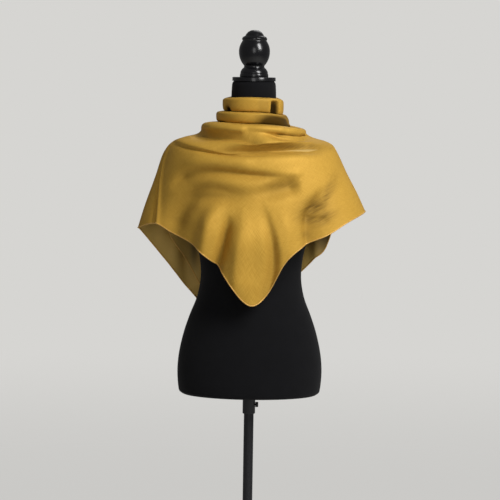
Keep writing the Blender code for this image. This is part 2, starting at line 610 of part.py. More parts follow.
# ---- Sub-parts ---------------------------------------------------------------------------
def build_scarf(silk, collection):
    """Neck rolls, cowl fold, front, left side fold, back, inner end and rolled hems."""
    turns = np.arange(FIRST_TURN, FIRST_TURN + 360, COLUMN_STEP, dtype=float)
    top_run, lower_run, drape_run = cloth_stretches()
    cloth_object("scarf_neck_roll_top", run_grid(top_run, turns), True, silk, collection)
    cloth_object("scarf_neck_roll_lower", run_grid(lower_run, turns), True, silk, collection)

    drape = folded(run_grid(drape_run, turns), drape_run, turns)
    form_grid = torso_grid()
    form = BVHTree.FromPolygons(form_grid.reshape(-1, 3).tolist(), grid_faces(*form_grid.shape[:2], True))
    drape = clear_of(form, drape)
    half_gap = BEND_GAP / 2
    cowl_end = rows_above(drape_run, COWL_END)
    cowl = pulled_in(drape[:cowl_end + 1], bottom=half_gap)
    cloth_object("scarf_cowl_fold", cowl, True, silk, collection)

    around = np.concatenate([drape[cowl_end:], drape[cowl_end:, :1]], axis=1)
    left_seam = int((LEFT_SEAM_TURN - FIRST_TURN) / COLUMN_STEP)
    right_seam = int((RIGHT_SEAM_TURN - FIRST_TURN) / COLUMN_STEP)
    hem_space = HEM_RADIUS + SEAM_GAP
    panels = {
        "left_side_fold": ("hem_left", around[:, :left_seam + 1]),
        "front_drape": ("hem_front", around[:, left_seam:right_seam + 1]),
        "back_drape": ("hem_back", around[:, right_seam:]),
    }
    for name, (hem_name, grid) in panels.items():
        panel = pulled_in(grid, top=half_gap, bottom=hem_space, left=half_gap, right=half_gap)
        cloth_object("scarf_" + name, panel, False, silk, collection)
        hem_object("scarf_" + hem_name, trimmed_path(grid[-1], HEM_END_TRIM), silk, collection)
    build_inner_end(panels["back_drape"][1], silk, collection)


def depth_of(grid, x, z):
    """The grid's depth (y) at a place seen from the front, as a short-range average."""
    places = grid.reshape(-1, 3)
    distance = np.hypot(places[:, 0] - x, places[:, 2] - z)
    weight = np.exp(-(distance / (distance.min() + DEPTH_BLUR)) ** 2)
    return float((weight * places[:, 1]).sum() / weight.sum())


def build_inner_end(back_grid, silk, collection):
    """The scarf's inner end: a flap that follows the back panel a little inside it."""
    steps = np.linspace(0, 1, INNER_COLUMNS + 1)
    rows = []
    for row in INNER_END:
        across = row.left + (row.right - row.left) * steps
        rows.append([(x, depth_of(back_grid, x, row.z) - row.inset, row.z) for x in across])
    grid = np.array(rows)[:, ::-1]
    hem_space = HEM_RADIUS + SEAM_GAP
    cloth_object("scarf_back_inner_end", pulled_in(grid, right=hem_space), False, silk, collection)
    hem_object("scarf_hem_inner", trimmed_path(grid[:, -1], HEM_END_TRIM), silk, collection)


def torso_grid():
    """The skin through the form's loops."""
    turns = FIRST_TURN + np.arange(FORM_COLUMNS) * 360 / FORM_COLUMNS
    stations = []
    for row in FORM_LOOPS:
        loop = Loop(row.name, "smooth", row.rows, row.side, row.side, row.front, row.back,
                    row.z_front, row.z_side, row.z_side, row.z_back, row.square, row.square, VALLEY_TURN)
        stations.append(loop_points(loop, turns))
    return skin(np.stack(stations), [row.rows for row in FORM_LOOPS[:-1]])


def build_form(jersey, lacquer, collection, cutters):
    """The torso with its neck and blind bore, the neck plate and the turned finial."""
    grid = torso_grid()
    rows, columns = grid.shape[:2]
    faces = grid_faces(rows, columns, True)
    faces.append(tuple(range(columns)))
    faces.append(tuple((rows - 1) * columns + c for c in reversed(range(columns))))
    torso = mesh_object("form_torso", grid.reshape(-1, 3), faces, jersey, collection)
    bore_bottom = FORM_LOOPS[-1].z_side - BORE_OVERRUN
    bore = cylinder_object("pole_bore", BORE_RADIUS, BORE_TOP - bore_bottom,
                           (0, 0, (BORE_TOP + bore_bottom) / 2), cutters)
    cut_away(torso, bore)

    plate = cylinder_object("form_neck_plate", PLATE_RADIUS, PLATE_THICKNESS,
                            (0, 0, PLATE_BOTTOM + PLATE_THICKNESS / 2), collection, lacquer,
                            segments=PLATE_SEGMENTS)
    edge = plate.modifiers.new("edge", "BEVEL")
    edge.width = PLATE_BEVEL
    edge.segments = 2
    edge.limit_method = "ANGLE"

    turned_object("form_finial", finial_profile(), lacquer, collection)


def finial_profile():
    """Cap and ring, the ball as two half-ellipses, then the bell and foot."""
    top = FINIAL_CAP[-1].height - BALL_HEIGHT
    bottom = FINIAL_FOOT[0].height - BALL_HEIGHT
    first = math.asin(top / BALL_RISE)
    last = math.asin(bottom / BALL_FALL)
    ball = []
    for i in range(1, BALL_STEPS):
        angle = first + (last - first) * i / BALL_STEPS
        half_height = BALL_RISE if angle > 0 else BALL_FALL
        ball.append((BALL_RADIUS * math.cos(angle), BALL_HEIGHT + half_height * math.sin(angle)))
    profile = [tuple(p) for p in FINIAL_CAP] + ball + [tuple(p) for p in FINIAL_FOOT]
    return [(radius, FINIAL_BOTTOM + height) for radius, height in profile]


def build_stand(enamel, plastic, collection, cutters):
    """Base with its socket, pole, clamp collar and clamp screw."""
    rim_inner = BASE_RADIUS - RIM_ROUND
    turned_object("stand_base", [
        (0.0, SOCKET_FLOOR), (SOCKET_RADIUS, SOCKET_FLOOR), (SOCKET_RADIUS, BOSS_TOP),
        (BOSS_RADIUS - BOSS_EDGE, BOSS_TOP), (BOSS_RADIUS, BOSS_TOP - BOSS_EDGE),
        (BOSS_RADIUS, BASE_DISH + BOSS_FILLET), (BOSS_RADIUS + BOSS_FILLET, BASE_DISH),
        (rim_inner - RIM_SLOPE, BASE_EDGE), (rim_inner, BASE_EDGE - RIM_ROUND / 2),
        (BASE_RADIUS, BASE_EDGE - RIM_ROUND * 1.5), (BASE_RADIUS, RIM_FOOT),
        (BASE_RADIUS - RIM_FOOT, 0.0), (0.0, 0.0),
    ], enamel, collection, segments=BASE_SEGMENTS)

    foot = SOCKET_FLOOR + SEAM_GAP
    pole = cylinder_object("stand_pole", POLE_RADIUS, POLE_TOP - foot, (0, 0, (POLE_TOP + foot) / 2),
                           collection, enamel)
    edge = pole.modifiers.new("edge", "BEVEL")
    edge.width = POLE_BEVEL
    edge.segments = 1
    edge.limit_method = "ANGLE"

    flange_bottom = COLLAR_TOP - FLANGE_THICKNESS
    collar = turned_object("stand_collar", [
        (COLLAR_BORE, COLLAR_BOTTOM), (COLLAR_BORE, COLLAR_TOP), (FLANGE_RADIUS, COLLAR_TOP),
        (FLANGE_RADIUS, flange_bottom), (COLLAR_RADIUS + FLANGE_FILLET_REACH, flange_bottom),
        (COLLAR_RADIUS, flange_bottom - FLANGE_FILLET_DROP),
        (COLLAR_RADIUS, COLLAR_BOTTOM + COLLAR_EDGE),
        (COLLAR_RADIUS - COLLAR_EDGE, COLLAR_BOTTOM), (COLLAR_BORE, COLLAR_BOTTOM),
    ], enamel, collection)
    hole = cylinder_object("screw_hole", SHANK_HOLE_RADIUS, 2 * COLLAR_RADIUS,
                           (COLLAR_RADIUS, 0, KNOB_HEIGHT), cutters, along_x=True,
                           segments=HOLE_SEGMENTS)
    cut_away(collar, hole)
    build_knob(plastic, collection, cutters)


def build_knob(plastic, collection, cutters):
    """The clamp screw: a lobed head on a round shank, its origin on its own axis."""
    mesh = bpy.data.meshes.new("clamp_knob")
    head = bmesh.new()
    bmesh.ops.create_cone(head, cap_ends=True, segments=KNOB_SEGMENTS, radius1=KNOB_RADIUS,
                          radius2=KNOB_RADIUS * KNOB_TAPER, depth=KNOB_LENGTH)
    for vertex in head.verts:
        angle = math.atan2(vertex.co.y, vertex.co.x)
        share = 1 - KNOB_LOBE_DEPTH / KNOB_RADIUS * (1 - math.cos(KNOB_LOBES * angle))
        vertex.co.x *= share
        vertex.co.y *= share
    bmesh.ops.rotate(head, verts=head.verts, matrix=Matrix.Rotation(math.pi / 2, 3, "Y"))
    head.to_mesh(mesh)
    head.free()
    mesh.materials.append(plastic)
    knob = bpy.data.objects.new("clamp_knob", mesh)
    knob.location = (KNOB_START + KNOB_LENGTH / 2, 0, KNOB_HEIGHT)
    collection.objects.link(knob)
    shank_end = KNOB_START + KNOB_LENGTH / 2
    shank = cylinder_object("knob_shank", SHANK_RADIUS, shank_end - SHANK_TIP,
                            ((shank_end + SHANK_TIP) / 2, 0, KNOB_HEIGHT), cutters, along_x=True,
                            segments=SHANK_SEGMENTS)
    cut_away(knob, shank, "UNION")


def main():
    """Build every sub-part."""
    clear_scene()
    parts = new_collection(PART_NAME)
    cutters = new_collection("cutters", is_cutters=True)
    materials = make_materials()
    build_scarf(materials["silk_satin"], parts)
    build_form(materials["form_jersey"], materials["black_lacquer"], parts, cutters)
    build_stand(materials["black_enamel"], materials["knob_plastic"], parts, cutters)


main()
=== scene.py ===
"""The looks of a square silk satin scarf draped round the neck and shoulders of a dress form.

Metres and degrees, +Z up. The scarf's front faces -Y and its point hangs at the middle; +X is
on the viewer's right. Turns go round the form: 0 is the middle of the front, 90 the viewer's
right, 180 the back. The cloth is skinned through loops that run round the form from the neck
to the hem, and its folds are then pressed in or raised along short paths.
"""
from collections import namedtuple
import math

import bpy
from mathutils import Matrix, Vector
from mathutils.bvhtree import BVHTree
import numpy as np


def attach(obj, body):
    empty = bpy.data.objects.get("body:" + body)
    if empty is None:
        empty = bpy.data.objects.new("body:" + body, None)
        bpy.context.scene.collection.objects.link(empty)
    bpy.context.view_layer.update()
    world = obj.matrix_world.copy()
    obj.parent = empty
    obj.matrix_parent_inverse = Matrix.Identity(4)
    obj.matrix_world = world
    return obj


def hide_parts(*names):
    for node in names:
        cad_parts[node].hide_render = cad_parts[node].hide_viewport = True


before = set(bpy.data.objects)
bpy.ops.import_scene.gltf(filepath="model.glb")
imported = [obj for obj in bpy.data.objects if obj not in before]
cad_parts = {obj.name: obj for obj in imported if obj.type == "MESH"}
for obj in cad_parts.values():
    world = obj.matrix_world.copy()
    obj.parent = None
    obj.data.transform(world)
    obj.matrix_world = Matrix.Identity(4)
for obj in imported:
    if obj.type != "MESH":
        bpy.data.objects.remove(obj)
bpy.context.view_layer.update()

# ---- Cloth
SILK = .0006  # thickness of the cloth
FORM_SPACE = .003  # the cloth is kept at least this far off the form
FORM_SOFTNESS = .002  # and starts to lift about this much sooner
TUCK = .0015  # how far a roll starts below the roll that lies on it
CROWN_POWER = .5  # below 1 fills out the upper quarter-ellipse of a roll
UNDER_POWER = .8  # and its lower one
FIRST_TURN = -102  # the cloth's columns start here and go once round
SIDE_TURN = -90  # the form's left side, which stays where it is
VALLEY_TURN = -78  # the crease of the left side fold
VALLEY_START = "shoulder_in"  # the loop where that crease starts
VALLEY_ONSET = 3.0  # it is at its full depth this many times before the hem
Crease = namedtuple("Crease", "turn width depth")
VALLEY = [  # its groove and the soft bulges beside it
    Crease(-78.0, 1.2, -.0075), Crease(-74.6, 2.4, .003), Crease(-86.0, 6.0, .004),
]

# Columns of points go round in these steps of turn, close where the cloth shows most.
ColumnRun = namedtuple("ColumnRun", "first last step")
COLUMN_RUNS = [
    ColumnRun(-102, -84, 1.5), ColumnRun(-84, -72, .5), ColumnRun(-72, 102, 1.0),
    ColumnRun(102, 258, 1.5),
]

# A row for each loop round the form, from the neck down. passage is how the cloth goes on to
# the next loop, in so many rows: crown leaves level and bends down, under goes down and bends
# in level, smooth runs straight on, tuck drops under a roll. left, right, front and back are
# how far the loop reaches, and the z columns are its heights there. sharp_left or sharp_right
# above 1 draws it to an edge at that side, and below 1 squares it. valley is the turn where
# the left crease crosses it.
REACHES = "left right front back"
HEIGHTS = "z_front z_left z_right z_back"
Loop = namedtuple("Loop", f"name passage rows {REACHES} {HEIGHTS} sharp_left sharp_right valley")
LOOPS = [
    Loop("neck_edge", "crown", 14, .052, .0512, .052, .0515, 1.399, 1.3965, 1.396, 1.403, 1.0, 1.0, -78),
    Loop("top_out", "under", 12, .0692, .067, .0698, .068, 1.388, 1.385, 1.379, 1.388, 1.0, 1.0, -78),
    Loop("top_tuck", "tuck", 10, .0635, .064, .064, .062, 1.3675, 1.3675, 1.36, 1.3695, 1.0, 1.0, -78),
    Loop("lower_out", "under", 12, .0832, .086, .085, .081, 1.358, 1.356, 1.3395, 1.357, 1.0, 1.0, -78),
    Loop("lower_tuck", "tuck", 10, .077, .083, .078, .074, 1.342, 1.343, 1.332, 1.344, 1.0, 1.0, -78),
    Loop("cowl_out", "smooth", 13, .1165, .118, .104, .097, 1.326, 1.3225, 1.3195, 1.328, 1.03, 1.03, -78),
    Loop("yoke", "smooth", 13, .124, .137, .1105, .101, 1.308, 1.315, 1.307, 1.31, 1.05, 1.05, -78),
    Loop("shoulder_in", "smooth", 12, .155, .162, .12, .105, 1.288, 1.3065, 1.3015, 1.288, 1.05, 1.05, -79),
    Loop("shoulder_out", "smooth", 12, .18, .178, .126, .108, 1.268, 1.295, 1.2935, 1.267, 1.08, 1.03, -82),
    Loop("shoulder_drop", "smooth", 18, .195, .189, .131, .112, 1.243, 1.275, 1.277, 1.242, 1.12, 1.04, -83),
    Loop("upper_arm", "smooth", 26, .213, .211, .136, .119, 1.2, 1.221, 1.232, 1.195, 1.25, 1.0, -76),
    Loop("lower_arm", "smooth", 46, .238, .234, .141, .125, 1.125, 1.151, 1.189, 1.115, 1.38, .9, -64),
    Loop("hem", "end", 0, .253, .254, .143, .12, .943, 1.102, 1.147, .845, 1.5, .9, -59),
]

# The hem's height over its place across the form, in front and behind.
Place = namedtuple("Place", "across z")
FRONT_HEM = [
    Place(-.253, 1.101), Place(-.216, 1.117), Place(-.181, 1.099), Place(-.118, 1.0695),
    Place(-.08, 1.035), Place(-.041, .984), Place(-.018, .955), Place(.001, .944), Place(.02, .951),
    Place(.04, .973), Place(.072, 1.036), Place(.112, 1.0735), Place(.172, 1.102), Place(.211, 1.126),
    Place(.254, 1.147),
]
BACK_HEM = [
    Place(-.253, 1.101), Place(-.192, 1.021), Place(-.128, .94), Place(-.065, .864), Place(-.04, .845),
    Place(-.012, .859), Place(.055, .937), Place(.145, 1.029), Place(.17, 1.056), Place(.182, 1.092),
    Place(.215, 1.125), Place(.254, 1.147),
]

# A row for each fold of the drape: how far it stands out (or, below zero, is pressed in), its
# half-width at its start and end, and its path. Front and back paths are (x, z) places, left
# and right ones (y, z). A lean over 0 widens the fold above its path or at its right, and one
# under 0 below it or at its left. A power of 2 is a soft hill or hollow, and 1 comes to a
# sharp crease. rise is the share of the path over which the fold grows to its full height,
# and sag is how much of that height it also hangs down.
Fold = namedtuple("Fold", "name height start_width end_width path lean power rise sag",
                  defaults=(.0, 2, .25, .0))
FRONT_FOLDS = [
    Fold("cowl_bulge", .006, .009, .008, ((-.118, 1.331), (-.079, 1.335), (-.039, 1.332), (-.01, 1.329)),
        sag=.6),
    Fold("cowl_streak", -.012, .009, .007, ((-.142, 1.308), (-.116, 1.312), (-.078, 1.312), (-.039, 1.311),
         (-.006, 1.309), (.03, 1.308)), lean=.2, power=1.6),
    Fold("slant_ridge", .006, .008, .006, ((-.03, 1.336), (.01, 1.333), (.05, 1.328), (.09, 1.322),
         (.134, 1.315)), lean=.2, rise=.5, sag=.5),
    Fold("slant_trough", -.011, .005, .006, ((.01, 1.324), (.046, 1.319), (.076, 1.315), (.104, 1.313),
         (.146, 1.31)), lean=.3, power=1.8, rise=.35),
    Fold("second_ridge", .014, .008, .009, ((-.07, 1.302), (-.01, 1.307), (.04, 1.309), (.09, 1.311),
         (.14, 1.308), (.186, 1.301)), rise=.3, sag=.9),
    Fold("collarbone_trough", -.02, .01, .012, ((-.13, 1.28), (-.09, 1.282), (-.055, 1.284), (-.02, 1.286),
         (.012, 1.287), (.048, 1.289), (.104, 1.293), (.144, 1.29), (.186, 1.284)), lean=-.15, power=1.8,
        rise=.3),
    Fold("crease_lip", .007, .009, .006, ((-.2, 1.306), (-.149, 1.293), (-.105, 1.286), (-.055, 1.282),
         (.0, 1.28)), lean=.5, sag=.3),
    Fold("collarbone_crease", -.0036, .0034, .0028, ((-.184, 1.295), (-.149, 1.286), (-.105, 1.28),
         (-.055, 1.277), (-.006, 1.275), (.05, 1.275)), power=1.3),
    Fold("chest_ridge", .004, .014, .014, ((-.165, 1.252), (-.104, 1.262), (-.046, 1.262), (.012, 1.256)),
        sag=.3),
    Fold("cowl_crescent", -.014, .014, .01, ((-.186, 1.186), (-.162, 1.217), (-.138, 1.231),
         (-.104, 1.238), (-.061, 1.238), (-.01, 1.233), (.04, 1.23), (.094, 1.23)), lean=-.35, power=1.6,
        rise=.22),
    Fold("arch_left", -.0165, .016, .026, ((.03, 1.184), (-.01, 1.185), (-.05, 1.186), (-.09, 1.188),
         (-.126, 1.182), (-.152, 1.16), (-.166, 1.134), (-.17, 1.105), (-.172, 1.02)), rise=.35),
    Fold("arch_right", -.013, .018, .02, ((-.05, 1.184), (-.008, 1.186), (.02, 1.19), (.046, 1.196),
         (.066, 1.202), (.086, 1.208), (.108, 1.214)), rise=.5),
    Fold("belly", .01, .05, .05, ((-.13, 1.07), (-.06, 1.085), (.02, 1.085), (.1, 1.08)), rise=.3),
    Fold("lens_ridge", .003, .01, .008, ((-.006, 1.22), (.043, 1.228), (.08, 1.233), (.118, 1.238)),
        sag=.4),
    Fold("left_ridge", .018, .018, .021, ((-.046, 1.182), (-.074, 1.158), (-.09, 1.129), (-.098, 1.096),
         (-.104, 1.06), (-.11, 1.01)), rise=.5),
    Fold("middle_trough", -.022, .009, .0125, ((-.048, 1.148), (-.053, 1.124), (-.06, 1.096),
         (-.067, 1.066), (-.077, 1.031), (-.09, .99), (-.103, .95)), lean=.28, rise=.38),
    Fold("middle_ridge", .0135, .016, .026, ((-.012, 1.17), (-.018, 1.14), (-.022, 1.098), (-.028, 1.06),
         (-.032, 1.0), (-.029, .94)), lean=.25, rise=.65),
    Fold("right_trough", -.015, .01, .015, ((.012, 1.184), (.028, 1.15), (.04, 1.112), (.048, 1.078),
         (.052, 1.044), (.049, 1.01), (.041, .975), (.03, .94), (.018, .91)), lean=-.3, rise=.5),
    Fold("right_ridge", .0035, .014, .016, ((.056, 1.18), (.068, 1.138), (.078, 1.105), (.084, 1.067),
         (.088, 1.02)), lean=.2, rise=.5),
    Fold("elbow_hollow", -.015, .016, .02, ((.166, 1.212), (.15, 1.19), (.135, 1.167), (.123, 1.145),
         (.121, 1.116), (.124, 1.08), (.127, 1.03)), lean=.45, power=1.6, rise=.4),
    Fold("elbow_branch", -.0025, .006, .009, ((.104, 1.147), (.138, 1.138), (.174, 1.134)), lean=-.3,
        power=1.6, rise=.3),
]
BACK_FOLDS = [
    Fold("back_neck_trough", -.004, .006, .006, ((-.12, 1.306), (-.02, 1.297), (.1, 1.302)), lean=.3),
    Fold("back_cowl_ridge", .0045, .01, .01, ((-.16, 1.29), (-.07, 1.268), (.03, 1.262), (.165, 1.292)),
        sag=.4),
    Fold("back_cowl_trough", -.007, .007, .009, ((-.172, 1.276), (-.08, 1.245), (.01, 1.236), (.1, 1.25),
         (.178, 1.28)), lean=.4),
    Fold("back_low_ridge", .005, .012, .012, ((-.15, 1.24), (-.06, 1.222), (.05, 1.222), (.15, 1.248)),
        sag=.3),
    Fold("back_crescent", -.006, .01, .01, ((-.16, 1.215), (-.07, 1.2), (.02, 1.195), (.09, 1.208),
         (.15, 1.235)), lean=.3),
    Fold("back_far_left_trough", -.009, .012, .018, ((-.14, 1.215), (-.16, 1.14), (-.172, 1.08),
         (-.178, 1.0))),
    Fold("back_left_ridge", .009, .016, .02, ((-.1, 1.2), (-.13, 1.12), (-.142, 1.04), (-.146, .93)),
        lean=.2),
    Fold("back_left_trough", -.011, .013, .02, ((-.06, 1.2), (-.09, 1.12), (-.106, 1.04), (-.112, .92)),
        lean=-.2),
    Fold("back_middle_ridge", .011, .018, .024, ((-.012, 1.195), (-.03, 1.08), (-.044, .96), (-.048, .82)),
        lean=.2),
    Fold("back_right_trough", -.012, .012, .018, ((.04, 1.2), (.046, 1.1), (.03, 1.0), (.002, .87)),
        lean=-.2),
    Fold("back_right_ridge", .008, .014, .018, ((.085, 1.215), (.1, 1.13), (.098, 1.05), (.08, .95)),
        lean=.2),
    Fold("back_far_right_trough", -.009, .01, .013, ((.128, 1.228), (.146, 1.15), (.15, 1.08), (.15, 1.0))),
]
LEFT_FOLDS = [
    Fold("left_arm_trough", -.006, .01, .012, ((.022, 1.265), (.04, 1.2), (.052, 1.13), (.06, 1.03))),
    Fold("left_arm_ridge", .004, .012, .012, ((.05, 1.262), (.074, 1.18), (.085, 1.08), (.09, .99))),
]
RIGHT_FOLDS = [
    Fold("right_arm_trough", -.0055, .01, .012, ((.022, 1.268), (.034, 1.215), (.044, 1.16), (.05, 1.08))),
    Fold("right_arm_ridge", .004, .012, .012, ((.052, 1.255), (.07, 1.18), (.08, 1.11), (.086, 1.02))),
]
FOLDS = {"front": FRONT_FOLDS, "back": BACK_FOLDS, "left": LEFT_FOLDS, "right": RIGHT_FOLDS}
FRONT_FADE = .03  # depth over which a front or back fold dies away at the sides
ARM_START = .11  # the arms' folds start this far out
ARM_FADE = .04  # and reach their full depth over this much more
PATH_SAMPLES = 41
FOLD_REACH = 3  # a fold is not felt this many half-widths from its path
END_FADE = .2  # share of a fold's path over which its far end dies away
HOLLOW_DEPTH = .02  # a fold hollow this deep gets the full painted shade,
HOLLOW_SHADE = .26  # which mixes in this share of the painted shade colour

# Hollows and swells of the two neck rolls and of the cowl's rim: where round the neck, where
# down the section (0 at its top, 1 at its foot), their half-widths, how far they stand out,
# how steep their sides are (2 is a soft hill, 4 a flat-floored pit), and how much painted shade
# darkens the cloth's colour there.
Swell = namedtuple("Swell", "name roll turn turn_width share share_width height steepness turned",
                   defaults=(2, .0))
SWELLS = [
    Swell("right_gap", "top", 46.0, 9.5, .92, .44, -.015, 5, 1.0),
    Swell("right_gap_shade", "top", 20.0, 10.0, .5, .5, -.001, turned=.28),
    Swell("right_loop", "top", 66.0, 10.0, .45, .6, .0016),
    Swell("right_corner", "top", 84.0, 22.0, .12, .16, -.0058),
    Swell("left_pit", "top", -61.0, 9.0, .96, .3, -.012, 3, 1.0),
    Swell("left_corner", "top", -84.0, 24.0, .12, .16, -.0055),
    Swell("front_dip", "top", -10.0, 18.0, .6, .3, -.0012),
    Swell("back_dip", "top", 168.0, 22.0, .5, .35, -.003),
    Swell("back_swell", "top", 215.0, 16.0, .5, .35, .0016),
    Swell("right_shade", "lower", 50.0, 40.0, .84, .5, -.008, 3, .92),
    Swell("right_slope", "lower", 82.0, 28.0, .28, .22, -.01, turned=.5),
    Swell("left_crevice", "lower", -66.0, 12.0, .94, .14, -.006, turned=.7),
    Swell("front_swell", "lower", -20.0, 22.0, .45, .4, .0012),
    Swell("back_hollow", "lower", 150.0, 18.0, .55, .3, -.003),
    Swell("back_roll_swell", "lower", 205.0, 20.0, .5, .35, .0018),
    Swell("twist_shade", "cowl", 14.0, 16.0, .12, .1, -.0006, turned=.35),
    Swell("twist_knot", "cowl", 30.0, 5.0, .36, .08, .0042),
    Swell("twist_loop", "cowl", 50.0, 11.0, .36, .07, .0048),
    Swell("twist_hollow", "cowl", 48.0, 9.0, .5, .05, -.004, turned=.6),
    Swell("twist_under", "cowl", 32.0, 5.0, .5, .05, -.0025, turned=.5),
]

# Patches where the satin is crushed into fine wrinkles and its colour darkened as painted shade, in
# front or behind: the middle of each, its reach along and across, how far its length slants up
# to the right, and how strong its wrinkles and painted shade are.
Crushed = namedtuple("Crushed", "side x z along across slant amount")
CRUSH_AND_SHADE = [
    Crushed("front", .136, 1.158, .034, .022, 26.0, 1.0),
    Crushed("front", .13, 1.134, .03, .012, -6.0, .85),
    Crushed("front", .158, 1.137, .028, .015, 30.0, .9),
    Crushed("front", .166, 1.188, .04, .012, 68.0, .75),
    Crushed("front", .118, 1.101, .01, .008, .0, .5),
    Crushed("front", .096, 1.2925, .075, .0085, -1.5, .85),
    Crushed("front", .064, 1.208, .034, .01, 6.0, .55),
    Crushed("front", -.11, 1.205, .034, .018, 30.0, .3),
    Crushed("back", .18, 1.09, .06, .06, 50.0, 1.0),
    Crushed("back", -.13, 1.045, .012, .045, .0, .85),
]
CRUSH_AND_SHADE_DEPTH = .02  # cloth this far ahead of the axis is in front

# The scarf's inner end hangs inside the back. A row for each height of it: where it starts
# and ends across, and how far inside the back panel it lies.
InnerRow = namedtuple("InnerRow", "z left right inset")
INNER_END = [
    InnerRow(1.2, -.188, -.01, .0023), InnerRow(1.14, -.192, .0, .0065),
    InnerRow(1.087, -.186, .004, .0085), InnerRow(1.032, -.153, -.004, .0085),
    InnerRow(.974, -.12, -.022, .0085), InnerRow(.92, -.088, -.044, .0085),
    InnerRow(.894, -.07, -.058, .0085),
]
INNER_ROWS = 90
INNER_COLUMNS = 60
BACK_START = 96  # the back panel's columns start at this turn
DEPTH_BLUR = .01  # reach of the average that reads the back panel's depth

HEM_RADIUS = .0015  # half the thickness of the hand-rolled hem
HEM_SIDES = 8
HEM_STEP = .0012  # distance between the hem's rings
STITCH_SPACING = .0065  # the hem's hidden stitches pinch it this often
STITCH_PINCH = .16  # by this share of its radius
STITCH_TIGHTNESS = 3  # above 1 keeps each pinch short
MERGE = .00001  # points this close are one
LEVEL = np.array([1.0, 1.0, .0])  # takes the height out of a place

# ---- Dress form
FORM_COLUMNS = 96  # points round the form
FORM_DENSITY = 4  # rows for each row that a loop asks for
FormLoop = namedtuple("FormLoop", "name rows side front back z_front z_side z_back square")
FORM_LOOPS = [
    FormLoop("neck_top", 1, .045, .045, .045, 1.434, 1.434, 1.434, 1.0),
    FormLoop("neck_round", 1, .048, .048, .048, 1.43, 1.43, 1.43, 1.0),
    FormLoop("neck_upper", 1, .0496, .0496, .0496, 1.415, 1.415, 1.415, 1.0),
    FormLoop("neck_middle", 1, .0502, .0502, .0502, 1.396, 1.396, 1.396, 1.0),
    FormLoop("neck_lower", 1, .0515, .0515, .0515, 1.36, 1.36, 1.36, 1.0),
    FormLoop("neck_base", 1, .061, .06, .057, 1.329, 1.336, 1.34, .98),
    FormLoop("collarbone", 1, .096, .079, .073, 1.308, 1.318, 1.323, .96),
    FormLoop("shoulder_slope", 1, .136, .096, .086, 1.285, 1.3055, 1.301, .94),
    FormLoop("shoulder", 1, .164, .105, .094, 1.261, 1.296, 1.276, .92),
    FormLoop("shoulder_round", 1, .177, .111, .099, 1.238, 1.283, 1.248, .92),
    FormLoop("arm_top", 1, .18, .116, .103, 1.215, 1.26, 1.22, .92),
    FormLoop("arm_lower", 2, .17, .124, .106, 1.175, 1.2, 1.18, .92),
    FormLoop("bust", 2, .151, .126, .103, 1.14, 1.14, 1.14, .95),
    FormLoop("under_bust", 1, .126, .109, .092, 1.08, 1.08, 1.08, .98),
    FormLoop("rib", 1, .1165, .098, .083, 1.04, 1.04, 1.04, 1.0),
    FormLoop("waist", 1, .113, .089, .075, .995, .995, .995, 1.0),
    FormLoop("waist_lower", 1, .12, .092, .082, .951, .951, .951, 1.0),
    FormLoop("hip_upper", 1, .136, .1, .097, .909, .909, .909, .98),
    FormLoop("hip_middle", 1, .149, .107, .109, .87, .87, .87, .97),
    FormLoop("hip", 1, .16, .113, .119, .82, .82, .82, .96),
    FormLoop("hip_lower", 1, .163, .114, .12, .78, .78, .78, .96),
    FormLoop("bottom", 1, .16, .112, .116, .742, .742, .742, .96),
    FormLoop("bottom_round", 1, .158, .11, .114, .735, .735, .735, .96),
    FormLoop("bottom_edge", 1, .151, .104, .108, .73, .73, .73, .96),
]

# ---- Turned and machined pieces: plate, finial, pole, base, collar and clamp screw
# Each is a profile of rings, or for the screw of rings out along its own axis.
Ring = namedtuple("Ring", "radius height")
PLATE = [Ring(.0484, 1.4343), Ring(.0484, 1.4427)]
FINIAL_BOTTOM = 1.443
BALL_HEIGHT = .057  # the ball's widest level over the finial's foot
BALL_RADIUS = .0347
BALL_RISE = .0375  # its upper half is this half-ellipse
BALL_FALL = .0415  # and its lower half this one
BALL_STEPS = 22
FINIAL_TIP = Ring(.002, .1049)
FINIAL_CAP = [
    Ring(.0085, .104), Ring(.015, .1005), Ring(.0195, .0952), Ring(.0206, .0925), Ring(.0216, .0916),
    Ring(.026, .0893), Ring(.028, .0862), Ring(.028, .0835), Ring(.0266, .0816),
]
FINIAL_FOOT = [
    Ring(.0226, .0238), Ring(.0232, .0214), Ring(.0266, .0184), Ring(.0298, .0136), Ring(.0309, .0098),
    Ring(.0303, .0084), Ring(.0315, .007), Ring(.032, .003), Ring(.0318, .0),
]
POLE = [
    Ring(.01, .0083), Ring(.011, .0093), Ring(.011, 1.019), Ring(.01, 1.02),
]
BASE = [
    Ring(.0114, .008), Ring(.0114, .048), Ring(.018, .048), Ring(.02, .046), Ring(.02, .024),
    Ring(.026, .018), Ring(.145, .013), Ring(.161, .011), Ring(.165, .007), Ring(.165, .003),
    Ring(.162, .0),
]
COLLAR = [
    Ring(.0117, .684), Ring(.0117, .7297), Ring(.032, .7297), Ring(.032, .7267), Ring(.0162, .7267),
    Ring(.0142, .7237), Ring(.0142, .685), Ring(.0132, .684), Ring(.0117, .684),
]
KNOB = [
    Ring(.0025, .0113), Ring(.0025, .0146), Ring(.0058, .0146), Ring(.006, .015), Ring(.0057, .0207),
    Ring(.0053, .0211),
]
KNOB_AXIS = .7045  # height of the clamp screw's axis, which runs along X
GRIP_START = .00375  # the grip is what lies this far from that axis
KNOB_LOBES = 8
LOBE_EDGE = -.3  # its hollows lie where the lobes' wave is under this
LOBE_PINCH = .86  # and are drawn in to this share of its radius
BEVEL_STEPS = 2
SMOOTH_UNDER = math.radians(32)  # edges that bend less than this are shaded smooth

